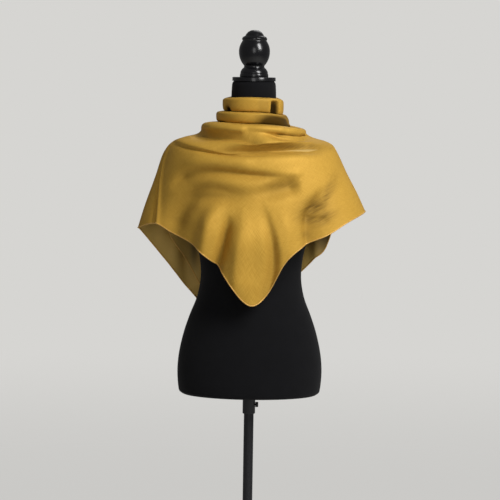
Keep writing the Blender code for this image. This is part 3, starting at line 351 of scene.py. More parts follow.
# ---- Camera, floor and light
CAMERA_PLACE = Vector((-.003, -5.2, 1.5))
CAMERA_AIM = Vector((-.003, .0, 1.055))
CAMERA_ROLL = math.radians(.9)
CAMERA_LENS = 167.0
Lamp = namedtuple("Lamp", "name place aim width height watts")
LAMPS = [
    Lamp("key", (1.8, -1.95, 3.05), (.0, .0, 1.2), 1.0, 1.9, 106.0),
    Lamp("fill", (-.1, -2.9, 1.9), (-.1, .0, 1.05), .9, 1.4, 9.0),
    Lamp("back", (.6, 2.2, 3.6), (.0, .0, 1.15), 1.6, 1.6, 12.0),
]
FLOOR_RADIUS = 9.0
FLOOR_FADE = (2.0, 6.5)  # the floor melts into the background between these distances
FLOOR_SEEN = .8  # how much of the floor's own paleness is seen
WORLD_LIGHT = .17
BACKGROUND = "D6D5D2"


# ---- Colours and nodes
MIX_SHARE, MIX_FROM, MIX_TO, MIXED = 0, 6, 7, 2  # sockets of a Mix node that mixes colours
ON_THE_BIAS = (0, 0, math.radians(45))  # worn point down, its threads slant so
WRINKLE_SLANT = (0, math.radians(-28), 0)


def linear_colour(hex_text):
    """An sRGB hex colour as linear red, green, blue and alpha."""
    channels = [int(hex_text[i:i + 2], 16) / 255 for i in (0, 2, 4)]
    linear = [c / 12.92 if c <= 0.04045 else ((c + 0.055) / 1.055) ** 2.4 for c in channels]
    return (*linear, 1.0)


def set_inputs(tree, node, inputs):
    """Links a node's sockets to other outputs, or sets them to a value or hex colour."""
    for socket_name, value in inputs.items():
        socket = node.inputs[socket_name]
        if isinstance(value, bpy.types.NodeSocket):
            tree.links.new(value, socket)
        else:
            socket.default_value = linear_colour(value) if isinstance(value, str) else value


def add_node(tree, kind, inputs, **settings):
    """A shader node with its inputs and its own settings."""
    node = tree.nodes.new("ShaderNode" + kind)
    for setting, value in settings.items():
        setattr(node, setting, value)
    set_inputs(tree, node, inputs)
    return node


def new_material(name):
    """A material, its node tree and its Principled shader."""
    material = bpy.data.materials.new(name)
    material.use_nodes = True
    tree = material.node_tree
    return material, tree, tree.nodes["Principled BSDF"]


def grain(tree, place, per_metre, detail, slant=(0, 0, 0), distortion=0.0):
    """Noise drawn out into grain: so many grains a metre along each slanted axis."""
    size = tuple(1 / count for count in per_metre)
    spread = add_node(tree, "Mapping", {"Vector": place, "Rotation": slant, "Scale": size},
                      vector_type="TEXTURE")
    noise = add_node(tree, "TexNoise", {"Vector": spread.outputs[0], "Scale": 1.0, "Detail": detail,
                                        "Distortion": distortion})
    return noise.outputs["Fac"]


def finish_surface(tree, shader, colour, tones, reliefs, shine):
    """Lays each tone over the colour by its share, and each relief over the last."""
    for share, tone in tones:
        colour = add_node(tree, "Mix", {MIX_SHARE: share, MIX_FROM: colour, MIX_TO: tone},
                          data_type="RGBA").outputs[MIXED]
    under = {}
    for height, strength, depth in reliefs:
        bump = add_node(tree, "Bump", {"Height": height, "Strength": strength, "Distance": depth, **under})
        under = {"Normal": bump.outputs[0]}
    set_inputs(tree, shader, {"Base Color": colour, **under, **shine})


def silk_right_side():
    """Silk satin, right side: long floats of golden thread that gleam in soft broad patches."""
    material, tree, shader = new_material("silk_satin_right_side")
    cloth = add_node(tree, "UVMap", {}, uv_map="cloth").outputs["UV"]
    place = add_node(tree, "TexCoord", {}).outputs["Object"]
    # How strong the crush patches' fine wrinkles are, and how far they darken the colour towards 573C12 as
    # painted shade.
    crushed = add_node(tree, "Attribute", {}, attribute_name="crushed").outputs["Fac"]
    # How far the deep gaps, pits and fold hollows are darkened towards 352409 as painted shade.
    turned = add_node(tree, "Attribute", {}, attribute_name="turned").outputs["Fac"]
    # Real floats lie 0.05 mm apart. They are drawn 1 mm apart and 25 mm long, so that they
    # show, and the slubs that cross them 1.5 mm apart.
    floats = grain(tree, cloth, (900, 40, 1), 3.0, ON_THE_BIAS)
    slubs = grain(tree, cloth, (60, 700, 1), 2.0, ON_THE_BIAS)
    threads = add_node(tree, "Math", {0: floats, 1: slubs}, operation="ADD").outputs[0]
    threads = add_node(tree, "MapRange", {"Value": threads, "From Min": .7, "From Max": 1.3}).outputs[0]
    # The cloth is never quite flat: it dimples every 8 mm. Where it has been crushed, fine
    # wrinkles 3 mm apart run up to the right.
    dimples = grain(tree, place, (120, 120, 120), 2.0)
    wrinkles = grain(tree, place, (30, 60, 330), 3.0, WRINKLE_SLANT, .5)
    # Crush patches darken the colour as painted shade; deep gaps and hollows take painted shade too.
    shade_along_wrinkles = add_node(tree, "MapRange", {"Value": wrinkles, "From Min": .35, "From Max": .65,
                                       "To Min": .85, "To Max": .45}).outputs[0]
    painted_wrinkle_shade = add_node(tree, "Math", {0: crushed, 1: shade_along_wrinkles}, operation="MULTIPLY").outputs[0]
    finish_surface(tree, shader, "BA8E36", [(threads, "CCA144"), (painted_wrinkle_shade, "573C12"), (turned, "352409")],
                   [(threads, .25, .00008), (dimples, .35, .001), (wrinkles, crushed, .0012)],
                   {"Roughness": .56, "Metallic": .14, "Specular Tint": "F0D9A0",
                    "Specular IOR Level": .35})
    return material


def silk_wrong_side():
    """Silk satin, wrong side: short crossings of thread, matt and a little olive."""
    material, tree, shader = new_material("silk_satin_wrong_side")
    cloth = add_node(tree, "UVMap", {}, uv_map="cloth").outputs["UV"]
    crushed = add_node(tree, "Attribute", {}, attribute_name="crushed").outputs["Fac"]
    # The crossings are drawn 1.5 mm by 4 mm, many times too coarse, so that they show.
    crossings = grain(tree, cloth, (700, 260, 1), 2.0, ON_THE_BIAS)
    # The crush patches darken this side towards 54421C: painted shade where it lies folded in.
    finish_surface(tree, shader, "D4AE5A", [(crossings, "E0BA66"), (crushed, "54421C")],
                   [(crossings, .3, .0001)], {"Roughness": .72})
    return material


# The plain finishes: a dark and a pale tone, mixed by one grain, and the relief of another.
# A grain is so many a metre along each axis, and how rough each one is.
Finish = namedtuple("Finish", "name dark pale tone_grain relief_grain strength depth shine")

# The hem, rolled tight by hand: a rounder line, painted paler than the cloth as a painted highlight. Its
# fibres show 2 mm apart.
FIBRES = ((500, 500, 500), 2.0)
ROLLED_EDGE_PAINTED_HIGHLIGHT = Finish("silk_satin_rolled_edge", "CFA04A", "DDB05C", FIBRES, FIBRES, .3, .0002,
                     {"Roughness": .45, "Metallic": .3})

# Cotton jersey: matt black, with soft lint 3 cm across. Its stitches are drawn 1.1 mm apart,
# a little coarser than real ones, and only show close by.
LINT = ((35, 35, 35), 4.0)
STITCHES = ((900, 900, 900), 2.0)
JERSEY = Finish("black_cotton_jersey", "08080A", "0E0E11", LINT, STITCHES, .4, .0003,
                {"Roughness": .95, "Sheen Weight": .04, "Sheen Roughness": .5,
                 "Specular IOR Level": .2})

# Turned wood under black lacquer: smooth and softly mirror-like, with the lathe's faint
# rings 1.1 mm apart.
LATHE_RINGS = ((20, 20, 900), 2.0)
LACQUER = Finish("black_lacquered_wood", "08080A", "101013", LATHE_RINGS, LATHE_RINGS, .12, .0001,
                 {"Roughness": .22})

# Powder-coated steel: black, with an orange-peel surface 1.4 mm from dimple to dimple.
PEEL = ((700, 700, 700), 2.0)
ENAMEL = Finish("black_powder_coat", "0D0D10", "15151A", PEEL, PEEL, .25, .0002, {"Roughness": .42})

# Moulded ABS: black, with the faint 0.6 mm spark texture of its mould.
SPARKS = ((1600, 1600, 1600), 1.0)
PLASTIC = Finish("black_moulded_abs", "111113", "191A1D", SPARKS, SPARKS, .3, .0001, {"Roughness": .5})


def plain_finish(finish):
    """The material of a plain finish."""
    material, tree, shader = new_material(finish.name)
    place = add_node(tree, "TexCoord", {}).outputs["Object"]
    tone = grain(tree, place, *finish.tone_grain)
    relief = grain(tree, place, *finish.relief_grain)
    finish_surface(tree, shader, finish.dark, [(tone, finish.pale)],
                   [(relief, finish.strength, finish.depth)], finish.shine)
    return material


# ---- Cloth and form: loops and the skin through them
def eased(share, first, last, first_slope, last_slope):
    """A smooth way from first to last that leaves and arrives with the given slopes."""
    square, cube = share ** 2, share ** 3
    start = (2 * cube - 3 * square + 1) * first + (cube - 2 * square + share) * first_slope
    return start + (3 * square - 2 * cube) * last + (cube - square) * last_slope


def smooth_curve(points, count):
    """count places on a smooth curve through the points, evenly shared between them."""
    points = np.array(points, dtype=float)
    position = np.linspace(0, len(points) - 1, count)
    leg = np.clip(position.astype(int), 0, len(points) - 2)
    slope = np.gradient(points, axis=0)
    share = (position - leg)[:, None]
    return eased(share, points[leg], points[leg + 1], slope[leg], slope[leg + 1])


def smooth_height(places, x):
    """A smooth curve through places (across, z), read at x."""
    across = np.array([place.across for place in places])
    z = np.array([place.z for place in places])
    slope = np.gradient(z, across)
    leg = np.clip(np.searchsorted(across, x) - 1, 0, len(across) - 2)
    span = across[leg + 1] - across[leg]
    share = np.clip((x - across[leg]) / span, 0.0, 1.0)
    return eased(share, z[leg], z[leg + 1], span * slope[leg], span * slope[leg + 1])


def column_turns():
    """The turns of the cloth's columns."""
    return np.concatenate([np.arange(run.first, run.last - run.step / 2, run.step) for run in COLUMN_RUNS])


def loop_points(loop, turns):
    """Points of one loop; the left side's columns slide so that the crease is where it asks."""
    even = [FIRST_TURN, SIDE_TURN, VALLEY_TURN, 0, FIRST_TURN + 360]
    slid = [FIRST_TURN, SIDE_TURN, loop.valley, 0, FIRST_TURN + 360]
    angle = np.radians(np.interp(turns, even, slid))
    across = np.sin(angle)
    ahead = np.cos(angle)
    reach = np.where(across < 0, loop.left, loop.right)
    depth = np.where(ahead > 0, loop.front, loop.back)
    side_z = np.where(across < 0, loop.z_left, loop.z_right)
    middle_z = np.where(ahead > 0, loop.z_front, loop.z_back)
    sharp = np.where(across < 0, loop.sharp_left, loop.sharp_right)
    x = reach * across
    y = -depth * np.sign(ahead) * np.abs(ahead) ** sharp
    z = side_z * across ** 2 + middle_z * ahead ** 2
    if loop.name == "hem":
        z = np.where(ahead > 0, smooth_height(FRONT_HEM, x), smooth_height(BACK_HEM, x))
    return np.stack([x, y, z], axis=-1)


def between(upper, lower, out_share, down_share):
    """A loop part of the way from upper to lower, with its reach and height moved apart."""
    moved = {}
    for field in REACHES.split() + ["sharp_left", "sharp_right", "valley"]:
        moved[field] = (1 - out_share) * getattr(upper, field) + out_share * getattr(lower, field)
    for field in HEIGHTS.split():
        moved[field] = (1 - down_share) * getattr(upper, field) + down_share * getattr(lower, field)
    return upper._replace(passage="smooth", rows=1, **moved)


def quarter_bend(upper, lower, rows, passage):
    """Loops on the quarter-ellipse from upper to lower, without lower itself."""
    power = CROWN_POWER if passage == "crown" else UNDER_POWER
    loops = []
    for row in range(rows):
        quarter = math.pi / 2 * row / rows
        bent = math.sin(quarter) ** power
        straight = 1 - math.cos(quarter) ** power
        shares = (bent, straight) if passage == "crown" else (straight, bent)
        loops.append(between(upper, lower, *shares))
    return loops


def cloth_stretches():
    """The cloth's loops in runs from top to bottom; each run ends where a roll tucks in."""
    runs = [[]]
    upper = LOOPS[0]
    passage = upper.passage
    for lower in LOOPS[1:]:
        if passage == "smooth":
            runs[-1].append(upper)
        else:
            runs[-1] += quarter_bend(upper, lower, upper.rows, passage)
        upper = lower
        passage = lower.passage
        if passage == "tuck":
            runs[-1].append(upper)
            runs.append([])
            upper = upper._replace(**{field: getattr(upper, field) - TUCK for field in HEIGHTS.split()})
            passage = "crown"
    runs[-1].append(upper)
    return runs


def skin(stations, rows_between):
    """Rows of points on smooth curves down the columns of stations (loop, column, xyz)."""
    step = np.linalg.norm(np.diff(stations, axis=0), axis=2, keepdims=True) ** 0.5
    slope = np.diff(stations, axis=0) / step
    tangent = np.concatenate([slope[:1], slope], axis=0)
    tangent[1:-1] = (slope[:-1] * step[1:] + slope[1:] * step[:-1]) / (step[1:] + step[:-1])
    rows = []
    for leg, count in enumerate(rows_between):
        for row in range(count):
            rows.append(eased(row / count, stations[leg], stations[leg + 1],
                              step[leg] * tangent[leg], step[leg] * tangent[leg + 1]))
    rows.append(stations[-1])
    return np.stack(rows)


def run_grid(run, turns):
    """The skin through one run of loops."""
    return skin(np.stack([loop_points(loop, turns) for loop in run]), [loop.rows for loop in run[:-1]])


def rows_above(run, name):
    """How many rows of a run's skin lie above the named loop."""
    names = [loop.name for loop in run]
    return sum(loop.rows for loop in run[:names.index(name)])


def unit(vectors):
    """The same vectors, each 1 long."""
    return vectors / np.linalg.norm(vectors, axis=-1, keepdims=True)


def grid_normals(grid):
    """Unit normals of a grid (row, column, xyz) whose columns go once round."""
    around = np.roll(grid, -1, axis=1) - np.roll(grid, 1, axis=1)
    return unit(np.cross(np.gradient(grid, axis=0), around))


# ---- Cloth: folds
def smooth_step(share):
    """0 to 1 with level ends."""
    return eased(np.clip(share, 0.0, 1.0), 0.0, 1.0, 0.0, 0.0)


def side_reading(side, points):
    """Each point's place across and how strongly a fold on that side reaches it."""
    x, y = points[..., 0].ravel(), points[..., 1].ravel()
    if side in ("front", "back"):
        ahead = -y if side == "front" else y
        return x, np.clip(ahead / FRONT_FADE, 0.0, 1.0)
    outward = -x if side == "left" else x
    return y, smooth_step((outward - ARM_START) / ARM_FADE)


def nearest_on_path(places, path):
    """Each place's distance to a path, the share of it where it is nearest, and its side."""
    nearest = np.linalg.norm(places[:, None] - path[None], axis=2).argmin(axis=1)
    best = np.full(len(places), np.inf)
    share = np.zeros(len(places))
    side = np.zeros(len(places))
    for step in (-1, 0):
        start = np.clip(nearest + step, 0, len(path) - 2)
        way = path[start + 1] - path[start]
        along = ((places - path[start]) * way).sum(axis=1) / (way * way).sum(axis=1)
        along = np.clip(along, 0.0, 1.0)
        off = places - path[start] - along[:, None] * way
        distance = np.linalg.norm(off, axis=1)
        closer = distance < best
        cross = way[:, 0] * off[:, 1] - way[:, 1] * off[:, 0]
        turn = cross / np.maximum(np.linalg.norm(way, axis=1) * distance, 1e-9)
        side = np.where(closer, turn, side)
        best = np.where(closer, distance, best)
        share = np.where(closer, (start + along) / (len(path) - 1), share)
    return best, share, side


def fold_height(side, fold, points):
    """How far one fold moves each point, fading over its width and to its ends."""
    across, felt = side_reading(side, points)
    z = points[..., 2].ravel()
    path = smooth_curve(fold.path, PATH_SAMPLES)
    widest = FOLD_REACH * max(fold.start_width, fold.end_width)
    near = felt > 0
    for place, line in ((across, path[:, 0]), (z, path[:, 1])):
        near &= (place > line.min() - widest) & (place < line.max() + widest)
    distance, share, tilt = nearest_on_path(np.stack([across[near], z[near]], axis=-1), path)
    width = (fold.start_width + (fold.end_width - fold.start_width) * share) * (1 + fold.lean * tilt)
    fade = smooth_step(share / fold.rise) * smooth_step((1 - share) / END_FADE)
    height = np.zeros(across.shape)
    height[near] = fold.height * fade * felt[near] * np.exp(-(distance / width) ** fold.power)
    return height.reshape(points.shape[:-1])


def valley_height(turns, row_share):
    """The left side fold's crease, pressed in deeper towards the hem."""
    across = sum(c.depth * np.exp(-((turns - c.turn) / c.width) ** 2) for c in VALLEY)
    return across[None, :] * smooth_step(row_share * VALLEY_ONSET)[:, None]


def folded(drape, run, turns):
    """The drape with its folds and left crease, and the painted shade of each deep hollow."""
    first = rows_above(run, VALLEY_START)
    row_share = (np.arange(len(drape)) - first) / (len(drape) - 1 - first)
    height = np.zeros(drape.shape[:-1])
    sag = np.zeros(drape.shape[:-1])
    hollow = np.zeros(drape.shape[:-1])
    for side, fold in [(side, fold) for side, folds in FOLDS.items() for fold in folds]:
        moved = fold_height(side, fold, drape)
        height += moved
        sag += fold.sag * moved
        hollow -= np.minimum(moved, 0.0)
    height += valley_height(turns, row_share)
    drape = drape + height[..., None] * grid_normals(drape)
    drape[..., 2] -= sag
    return drape, HOLLOW_SHADE * np.minimum(hollow / HOLLOW_DEPTH, 1.0)


def swollen(grid, roll, turns):
    """A neck roll, or the cowl's rim, with its hollows and swells, and its painted shade."""
    share = np.linspace(0, 1, len(grid))[:, None]
    height = np.zeros(grid.shape[:-1])
    turned = np.zeros(grid.shape[:-1])
    for swell in SWELLS:
        if swell.roll == roll:
            off = (turns[None, :] - swell.turn + 180) % 360 - 180
            round_it = np.exp(-np.abs(off / swell.turn_width) ** swell.steepness)
            down_it = np.exp(-np.abs((share - swell.share) / swell.share_width) ** swell.steepness)
            height += swell.height * round_it * down_it
            turned = np.maximum(turned, swell.turned * np.minimum(1.0, 2 * round_it * down_it))
    outward = grid_normals(grid) if roll == "cowl" else unit(grid * LEVEL)
    return grid + height[..., None] * outward, turned


def clear_of(form, grid):
    """The grid with each point that comes too near the form lifted off it."""
    surface = BVHTree.FromPolygons([v.co for v in form.data.vertices],
                                   [face.vertices for face in form.data.polygons])
    lift = []
    for point in grid.reshape(-1, 3):
        place, normal, _, _ = surface.find_nearest(point)
        short = FORM_SPACE - (Vector(point) - place).dot(normal)
        lift.append((short + math.hypot(short, FORM_SOFTNESS)) / 2)
    return grid + np.reshape(lift, grid.shape[:-1])[..., None] * grid_normals(grid)


# ---- Meshes
def only(obj):
    """Makes an object the one that is selected."""
    bpy.ops.object.select_all(action="DESELECT")
    bpy.context.view_layer.objects.active = obj
    obj.select_set(True)


def apply_modifiers(obj):
    """Applies every modifier of an object, in order."""
    only(obj)
    for modifier in list(obj.modifiers):
        bpy.ops.object.modifier_apply(modifier=modifier.name)


def facing_out(obj, close_ends=False):
    """Turns a closed mesh's faces outwards, once its open ends are filled if it has any."""
    only(obj)
    bpy.ops.object.mode_set(mode="EDIT")
    bpy.ops.mesh.select_all(action="SELECT")
    if close_ends:
        bpy.ops.mesh.fill_holes(sides=0)
    bpy.ops.mesh.normals_make_consistent(inside=False)
    bpy.ops.object.mode_set(mode="OBJECT")


def grid_object(name, grid, closed, materials):
    """A smooth mesh through a grid (row, column, xyz), with the flat cloth's place as UV."""
    rows, columns = grid.shape[:2]
    strips = columns if closed else columns - 1
    row, column = np.meshgrid(np.arange(rows - 1), np.arange(strips), indexing="ij")
    start = row * columns
    after = (column + 1) % columns
    under = start + columns
    quads = np.stack([start + column, under + column, under + after, start + after], axis=-1)
    mesh = bpy.data.meshes.new(name)
    mesh.from_pydata(grid.reshape(-1, 3).tolist(), [], quads.reshape(-1, 4).tolist())
    around = np.concatenate([grid, grid[:, :1]], axis=1) if closed else grid
    u = np.linalg.norm(np.diff(around, axis=1), axis=2).mean(axis=0)
    u = np.concatenate([[0.0], np.cumsum(u)])
    v = np.linalg.norm(np.diff(grid, axis=0), axis=2).mean(axis=1)
    v = np.concatenate([[0.0], np.cumsum(v)])
    corner_u = np.stack([u[column], u[column], u[column + 1], u[column + 1]], axis=-1)
    corner_v = np.stack([v[row], v[row + 1], v[row + 1], v[row]], axis=-1)
    layer = mesh.uv_layers.new(name="cloth")
    layer.data.foreach_set("uv", np.stack([corner_u, corner_v], axis=-1).ravel())
    for material in materials:
        mesh.materials.append(material)
    mesh.shade_smooth()
    obj = bpy.data.objects.new(name, mesh)
    bpy.context.scene.collection.objects.link(obj)
    return obj


def crush_and_shade_share(places):
    """How strong the wrinkles and the painted shade of the crush patches are at each place."""
    crushed = np.zeros(len(places))
    for spot in CRUSH_AND_SHADE:
        slant = math.radians(spot.slant)
        right = places[:, 0] - spot.x
        up = places[:, 2] - spot.z
        along = (right * math.cos(slant) + up * math.sin(slant)) / spot.along
        across = (up * math.cos(slant) - right * math.sin(slant)) / spot.across
        here = (places[:, 1] < -CRUSH_AND_SHADE_DEPTH) == (spot.side == "front")
        crushed = np.maximum(crushed, here * spot.amount * np.exp(-(along ** 2 + across ** 2)))
    return crushed


def silk_sheet(name, grid, closed, outside, inside, turned):
    """A thin shell of silk: outside is the material of its outer side, inside of the other."""
    obj = grid_object(name, grid, closed, [outside, inside])
    # Each point carries its painted shade, and how strong the crush patches' wrinkles and painted shade are.
    for attribute, values in (("turned", turned.ravel()), ("crushed", crush_and_shade_share(grid.reshape(-1, 3)))):
        layer = obj.data.attributes.new(attribute, "FLOAT", "POINT")
        layer.data.foreach_set("value", values)
    wall = obj.modifiers.new("wall", "SOLIDIFY")
    wall.thickness = SILK
    wall.offset = 0.0
    wall.material_offset = 1
    wall.material_offset_rim = 1
    apply_modifiers(obj)
    return obj


def even_path(points, step, closed):
    """The same path with points an even step apart, and how far along it each is."""
    path = np.concatenate([points, points[:1]]) if closed else points
    along = np.concatenate([[0.0], np.cumsum(np.linalg.norm(np.diff(path, axis=0), axis=1))])
    places = np.linspace(0, along[-1], round(along[-1] / step), endpoint=not closed)
    return np.stack([np.interp(places, along, path[:, i]) for i in range(3)], axis=-1), places


def hem_tube(name, edge, closed, material):
    """A hand-rolled hem: a thin tube along the edge, pinched a little at each hidden stitch."""
    path, along = even_path(edge, HEM_STEP, closed)
    ahead = np.roll(path, -1, axis=0) - np.roll(path, 1, axis=0) if closed else np.gradient(path, axis=0)
    ahead = unit(ahead)
    outward = path * LEVEL
    outward = unit(outward - (outward * ahead).sum(axis=1, keepdims=True) * ahead)
    sideways = np.cross(ahead, outward)
    stitch = (0.5 + 0.5 * np.cos(2 * math.pi * along / STITCH_SPACING)) ** STITCH_TIGHTNESS
    radius = HEM_RADIUS * (1 - STITCH_PINCH * stitch)
    angle = np.linspace(0, 2 * math.pi, HEM_SIDES, endpoint=False)[None, :, None]
    ring = np.cos(angle) * outward[:, None] + np.sin(angle) * sideways[:, None]
    grid = np.swapaxes(path[:, None] + radius[:, None, None] * ring, 0, 1)
    tube = grid_object(name, np.concatenate([grid, grid[:1]]), closed, [material])
    tube.modifiers.new("weld", "WELD").merge_threshold = MERGE
    apply_modifiers(tube)
    facing_out(tube)
    return tube


# ---- The scarf
def inner_end_grid(back):
    """The scarf's inner end: a flap that follows the back panel a little inside it."""
    places = back.reshape(-1, 3)
    rows = []
    for z, left, right, inset in smooth_curve(INNER_END, INNER_ROWS):
        x = left + (right - left) * np.linspace(0, 1, INNER_COLUMNS)
        distance = np.hypot(places[:, 0][None] - x[:, None], places[:, 2][None] - z)
        weight = np.exp(-(distance / (distance.min(axis=1, keepdims=True) + DEPTH_BLUR)) ** 2)
        y = (weight * places[:, 1]).sum(axis=1) / weight.sum(axis=1) - inset
        rows.append(np.stack([x, y, np.full_like(x, z)], axis=-1))
    return np.stack(rows)


def build_scarf(form, right, wrong, edge):
    """The drape with its cowl, the two neck rolls, the inner end and the rolled hems."""
    turns = column_turns()
    top_run, lower_run, drape_run = cloth_stretches()
    # The rolls, the cowl's rim and the drape carry painted shade that darkens their deep gaps and hollows.
    top, top_painted_shade = swollen(run_grid(top_run, turns), "top", turns)
    lower, lower_painted_shade = swollen(run_grid(lower_run, turns), "lower", turns)
    drape = run_grid(drape_run, turns)
    rim = rows_above(drape_run, "yoke")
    drape[:rim], rim_painted_shade = swollen(drape[:rim], "cowl", turns)
    drape, drape_painted_shade = folded(drape, drape_run, turns)
    drape_painted_shade[:rim] = np.maximum(drape_painted_shade[:rim], rim_painted_shade)
    drape = clear_of(form, drape)
    inner_grid = inner_end_grid(drape[:, turns > BACK_START])

    top_roll = silk_sheet("silk_neck_roll_top", top, True, right, wrong, top_painted_shade)
    lower_roll = silk_sheet("silk_neck_roll_lower", lower, True, right, wrong, lower_painted_shade)
    drape_piece = silk_sheet("silk_drape", drape, True, right, wrong, drape_painted_shade)
    hem = hem_tube("rolled_hem", drape[-1], True, edge)
    inner = silk_sheet("silk_inner_end", inner_grid, False, wrong, right, np.zeros(inner_grid.shape[:-1]))
    inner_hem = hem_tube("rolled_hem_inner", inner_grid[:, 0], False, edge)

    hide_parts("scarf_neck_roll_top")
    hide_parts("scarf_neck_roll_lower")
    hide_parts("scarf_cowl_fold", "scarf_front_drape", "scarf_left_side_fold",
                "scarf_back_drape")
    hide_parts("scarf_hem_front", "scarf_hem_left", "scarf_hem_back")
    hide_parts("scarf_back_inner_end")
    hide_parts("scarf_hem_inner")
    for piece in (top_roll, lower_roll, drape_piece, hem, inner, inner_hem):
        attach(piece, "form")


# ---- The form and its stand
def stands_for(piece, node, body):
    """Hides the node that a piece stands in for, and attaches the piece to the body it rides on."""
    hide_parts(node)
    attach(piece, body)


def build_torso(material):
    """The torso: lofted, because its sections tilt and change shape from neck to hip."""
    turns = FIRST_TURN + np.arange(FORM_COLUMNS) * 360 / FORM_COLUMNS
    run = [Loop(row.name, "smooth", row.rows * FORM_DENSITY, row.side, row.side, row.front, row.back,
                row.z_front, row.z_side, row.z_side, row.z_back, row.square, row.square, VALLEY_TURN)
           for row in FORM_LOOPS]
    torso = grid_object("jersey_torso", run_grid(run, turns), True, [material])
    facing_out(torso, close_ends=True)
    stands_for(torso, "form_torso", "form")
    return torso


def turned_piece(name, profile, segments, edge, material, closed=True):
    """Turns a profile of rings round Z: a circle, extruded and scaled ring by ring."""
    bpy.ops.object.select_all(action="DESELECT")
    first = profile[0]
    bpy.ops.mesh.primitive_circle_add(vertices=segments, radius=first.radius, location=(0, 0, 0))
    piece = bpy.context.object
    piece.name = name
    piece.data.name = name
    bpy.ops.object.mode_set(mode="EDIT")
    bpy.ops.mesh.select_mode(type="VERT")
    bpy.ops.mesh.select_all(action="SELECT")
    bpy.ops.transform.translate(value=(0, 0, first.height))
    if closed:
        bpy.ops.mesh.extrude_region_move()
        bpy.ops.mesh.edge_face_add()
    for last, ring in zip(profile, profile[1:]):
        step = (0, 0, ring.height - last.height)
        bpy.ops.mesh.extrude_region_move(TRANSFORM_OT_translate={"value": step})
        share = ring.radius / last.radius
        bpy.ops.transform.resize(value=(share, share, 1), center_override=(0, 0, ring.height))
    if closed:
        bpy.ops.mesh.edge_face_add()
    bpy.ops.mesh.select_all(action="SELECT")
    bpy.ops.mesh.remove_doubles(threshold=MERGE)
    bpy.ops.mesh.normals_make_consistent(inside=False)
    bpy.ops.object.mode_set(mode="OBJECT")
    if edge > 0:
        bevel = piece.modifiers.new("edge", "BEVEL")
        bevel.width = edge
        bevel.segments = BEVEL_STEPS
        bevel.limit_method = "ANGLE"
        apply_modifiers(piece)
    bpy.ops.object.shade_smooth_by_angle(angle=SMOOTH_UNDER)
    piece.data.materials.append(material)
    return piece


def finial_profile():
    """Cap and ring, the ball as two half-ellipses, then the bell and foot."""
    first = math.asin((FINIAL_CAP[-1].height - BALL_HEIGHT) / BALL_RISE)
    last = math.asin((FINIAL_FOOT[0].height - BALL_HEIGHT) / BALL_FALL)
    ball = []
    for i in range(1, BALL_STEPS):
        angle = first + (last - first) * i / BALL_STEPS
        half_height = BALL_RISE if angle > 0 else BALL_FALL
        ball.append(Ring(BALL_RADIUS * math.cos(angle), BALL_HEIGHT + half_height * math.sin(angle)))
    profile = [FINIAL_TIP] + FINIAL_CAP + ball + FINIAL_FOOT
    return [Ring(ring.radius, FINIAL_BOTTOM + ring.height) for ring in profile]


def build_knob(material):
    """The clamp screw: a solid of revolution about its axis, then its grip drawn in between the lobes."""
    knob = turned_piece("lobed_clamp_knob", KNOB, 96, .0002, material)
    for vertex in knob.data.vertices:
        round_it = math.atan2(vertex.co.y, vertex.co.x)
        out = math.hypot(vertex.co.x, vertex.co.y)
        vertex.select = out > GRIP_START and math.cos(KNOB_LOBES * round_it) < LOBE_EDGE
    for part in list(knob.data.edges) + list(knob.data.polygons):
        part.select = False
    bpy.ops.object.mode_set(mode="EDIT")
    bpy.ops.transform.resize(value=(LOBE_PINCH, LOBE_PINCH, 1), center_override=(0, 0, 0))
    bpy.ops.object.mode_set(mode="OBJECT")
    knob.data.transform(Matrix.Translation((0, 0, KNOB_AXIS)) @ Matrix.Rotation(math.pi / 2, 4, "Y"))
    return knob


def build_hardware():
    """The lacquered plate and finial, the steel stand and its clamp screw."""
    wood = plain_finish(LACQUER)
    steel = plain_finish(ENAMEL)
    plate = turned_piece("lacquered_neck_plate", PLATE, 96, .0008, wood)
    finial = turned_piece("turned_finial", finial_profile(), 96, .0003, wood)
    pole = turned_piece("steel_pole", POLE, 48, 0, steel)
    base = turned_piece("steel_base", BASE, 160, .0009, steel)
    collar = turned_piece("steel_collar", COLLAR, 72, .0003, steel, closed=False)
    knob = build_knob(plain_finish(PLASTIC))
    stands_for(plate, "form_neck_plate", "form")
    stands_for(finial, "form_finial", "form")
    stands_for(pole, "stand_pole", "stand")
    stands_for(base, "stand_base", "stand")
    stands_for(collar, "stand_collar", "collar")
    stands_for(knob, "clamp_knob", "knob")


# ---- Camera, floor and light: how they are set up
def floor_paint():
    """Pale matt studio paint. It melts away far off, and seen directly it is paler than it is
    lit, but it still takes the stand's shadow."""
    material, tree, shader = new_material("studio_floor_paint")
    set_inputs(tree, shader, {"Base Color": "D2D1CE", "Roughness": .85})
    place = add_node(tree, "TexCoord", {}).outputs["Object"]
    far = add_node(tree, "VectorMath", {0: place}, operation="LENGTH").outputs["Value"]
    fade = add_node(tree, "MapRange", {"Value": far, "From Min": FLOOR_FADE[0], "From Max": FLOOR_FADE[1]},
                    interpolation_type="SMOOTHSTEP")
    pale = add_node(tree, "Emission", {"Color": BACKGROUND, "Strength": 1.0})
    path = add_node(tree, "LightPath", {})
    seen = add_node(tree, "Math", {0: path.outputs["Is Camera Ray"], 1: FLOOR_SEEN}, operation="MULTIPLY")
    paint = add_node(tree, "MixShader", {0: seen.outputs[0], 1: shader.outputs[0], 2: pale.outputs[0]})
    clear = add_node(tree, "BsdfTransparent", {})
    blend = add_node(tree, "MixShader", {0: fade.outputs["Result"], 1: paint.outputs[0], 2: clear.outputs[0]})
    tree.links.new(blend.outputs[0], tree.nodes["Material Output"].inputs["Surface"])
    return material


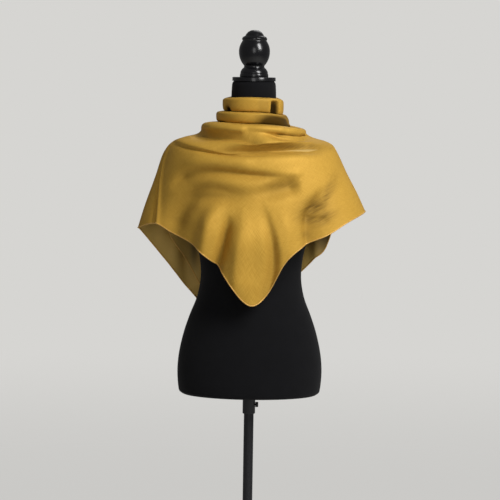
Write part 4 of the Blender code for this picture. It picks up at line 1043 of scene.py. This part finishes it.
def build_world():
    """A plain white world that lights softly and is seen as the pale background."""
    world = bpy.data.worlds.new("studio_world")
    world.use_nodes = True
    bpy.context.scene.world = world
    tree = world.node_tree
    light = tree.nodes["Background"]
    set_inputs(tree, light, {"Color": "FFFFFF", "Strength": WORLD_LIGHT})
    seen = add_node(tree, "Background", {"Color": BACKGROUND, "Strength": 1.0})
    path = add_node(tree, "LightPath", {})
    blend = add_node(tree, "MixShader", {0: path.outputs["Is Camera Ray"], 1: light.outputs[0],
                                         2: seen.outputs[0]})
    tree.links.new(blend.outputs[0], tree.nodes["World Output"].inputs["Surface"])


def build_stage():
    """A plain pale floor, a plain world, soft lamps and the camera."""
    bpy.ops.object.select_all(action="DESELECT")
    bpy.ops.mesh.primitive_circle_add(vertices=64, radius=FLOOR_RADIUS, fill_type="NGON",
                                      location=(0, 0, 0))
    floor = bpy.context.object
    floor.name = "studio_floor"
    floor.data.materials.append(floor_paint())
    build_world()

    for lamp in LAMPS:
        data = bpy.data.lights.new(lamp.name, "AREA")
        data.shape = "RECTANGLE"
        data.size = lamp.width
        data.size_y = lamp.height
        data.energy = lamp.watts
        obj = bpy.data.objects.new(lamp.name, data)
        obj.location = lamp.place
        obj.rotation_euler = (Vector(lamp.aim) - Vector(lamp.place)).to_track_quat("-Z", "Y").to_euler()
        bpy.context.scene.collection.objects.link(obj)

    camera = bpy.data.objects.new("camera", bpy.data.cameras.new("camera"))
    camera.data.lens = CAMERA_LENS
    turn = (CAMERA_AIM - CAMERA_PLACE).to_track_quat("-Z", "Y").to_matrix().to_4x4()
    roll = Matrix.Rotation(CAMERA_ROLL, 4, "Z")
    camera.matrix_world = Matrix.Translation(CAMERA_PLACE) @ turn @ roll
    bpy.context.scene.collection.objects.link(camera)
    bpy.context.scene.camera = camera
    bpy.context.scene.view_settings.view_transform = "Standard"


build_stage()
torso = build_torso(plain_finish(JERSEY))
build_scarf(torso, silk_right_side(), silk_wrong_side(), plain_finish(ROLLED_EDGE_PAINTED_HIGHLIGHT))
build_hardware()
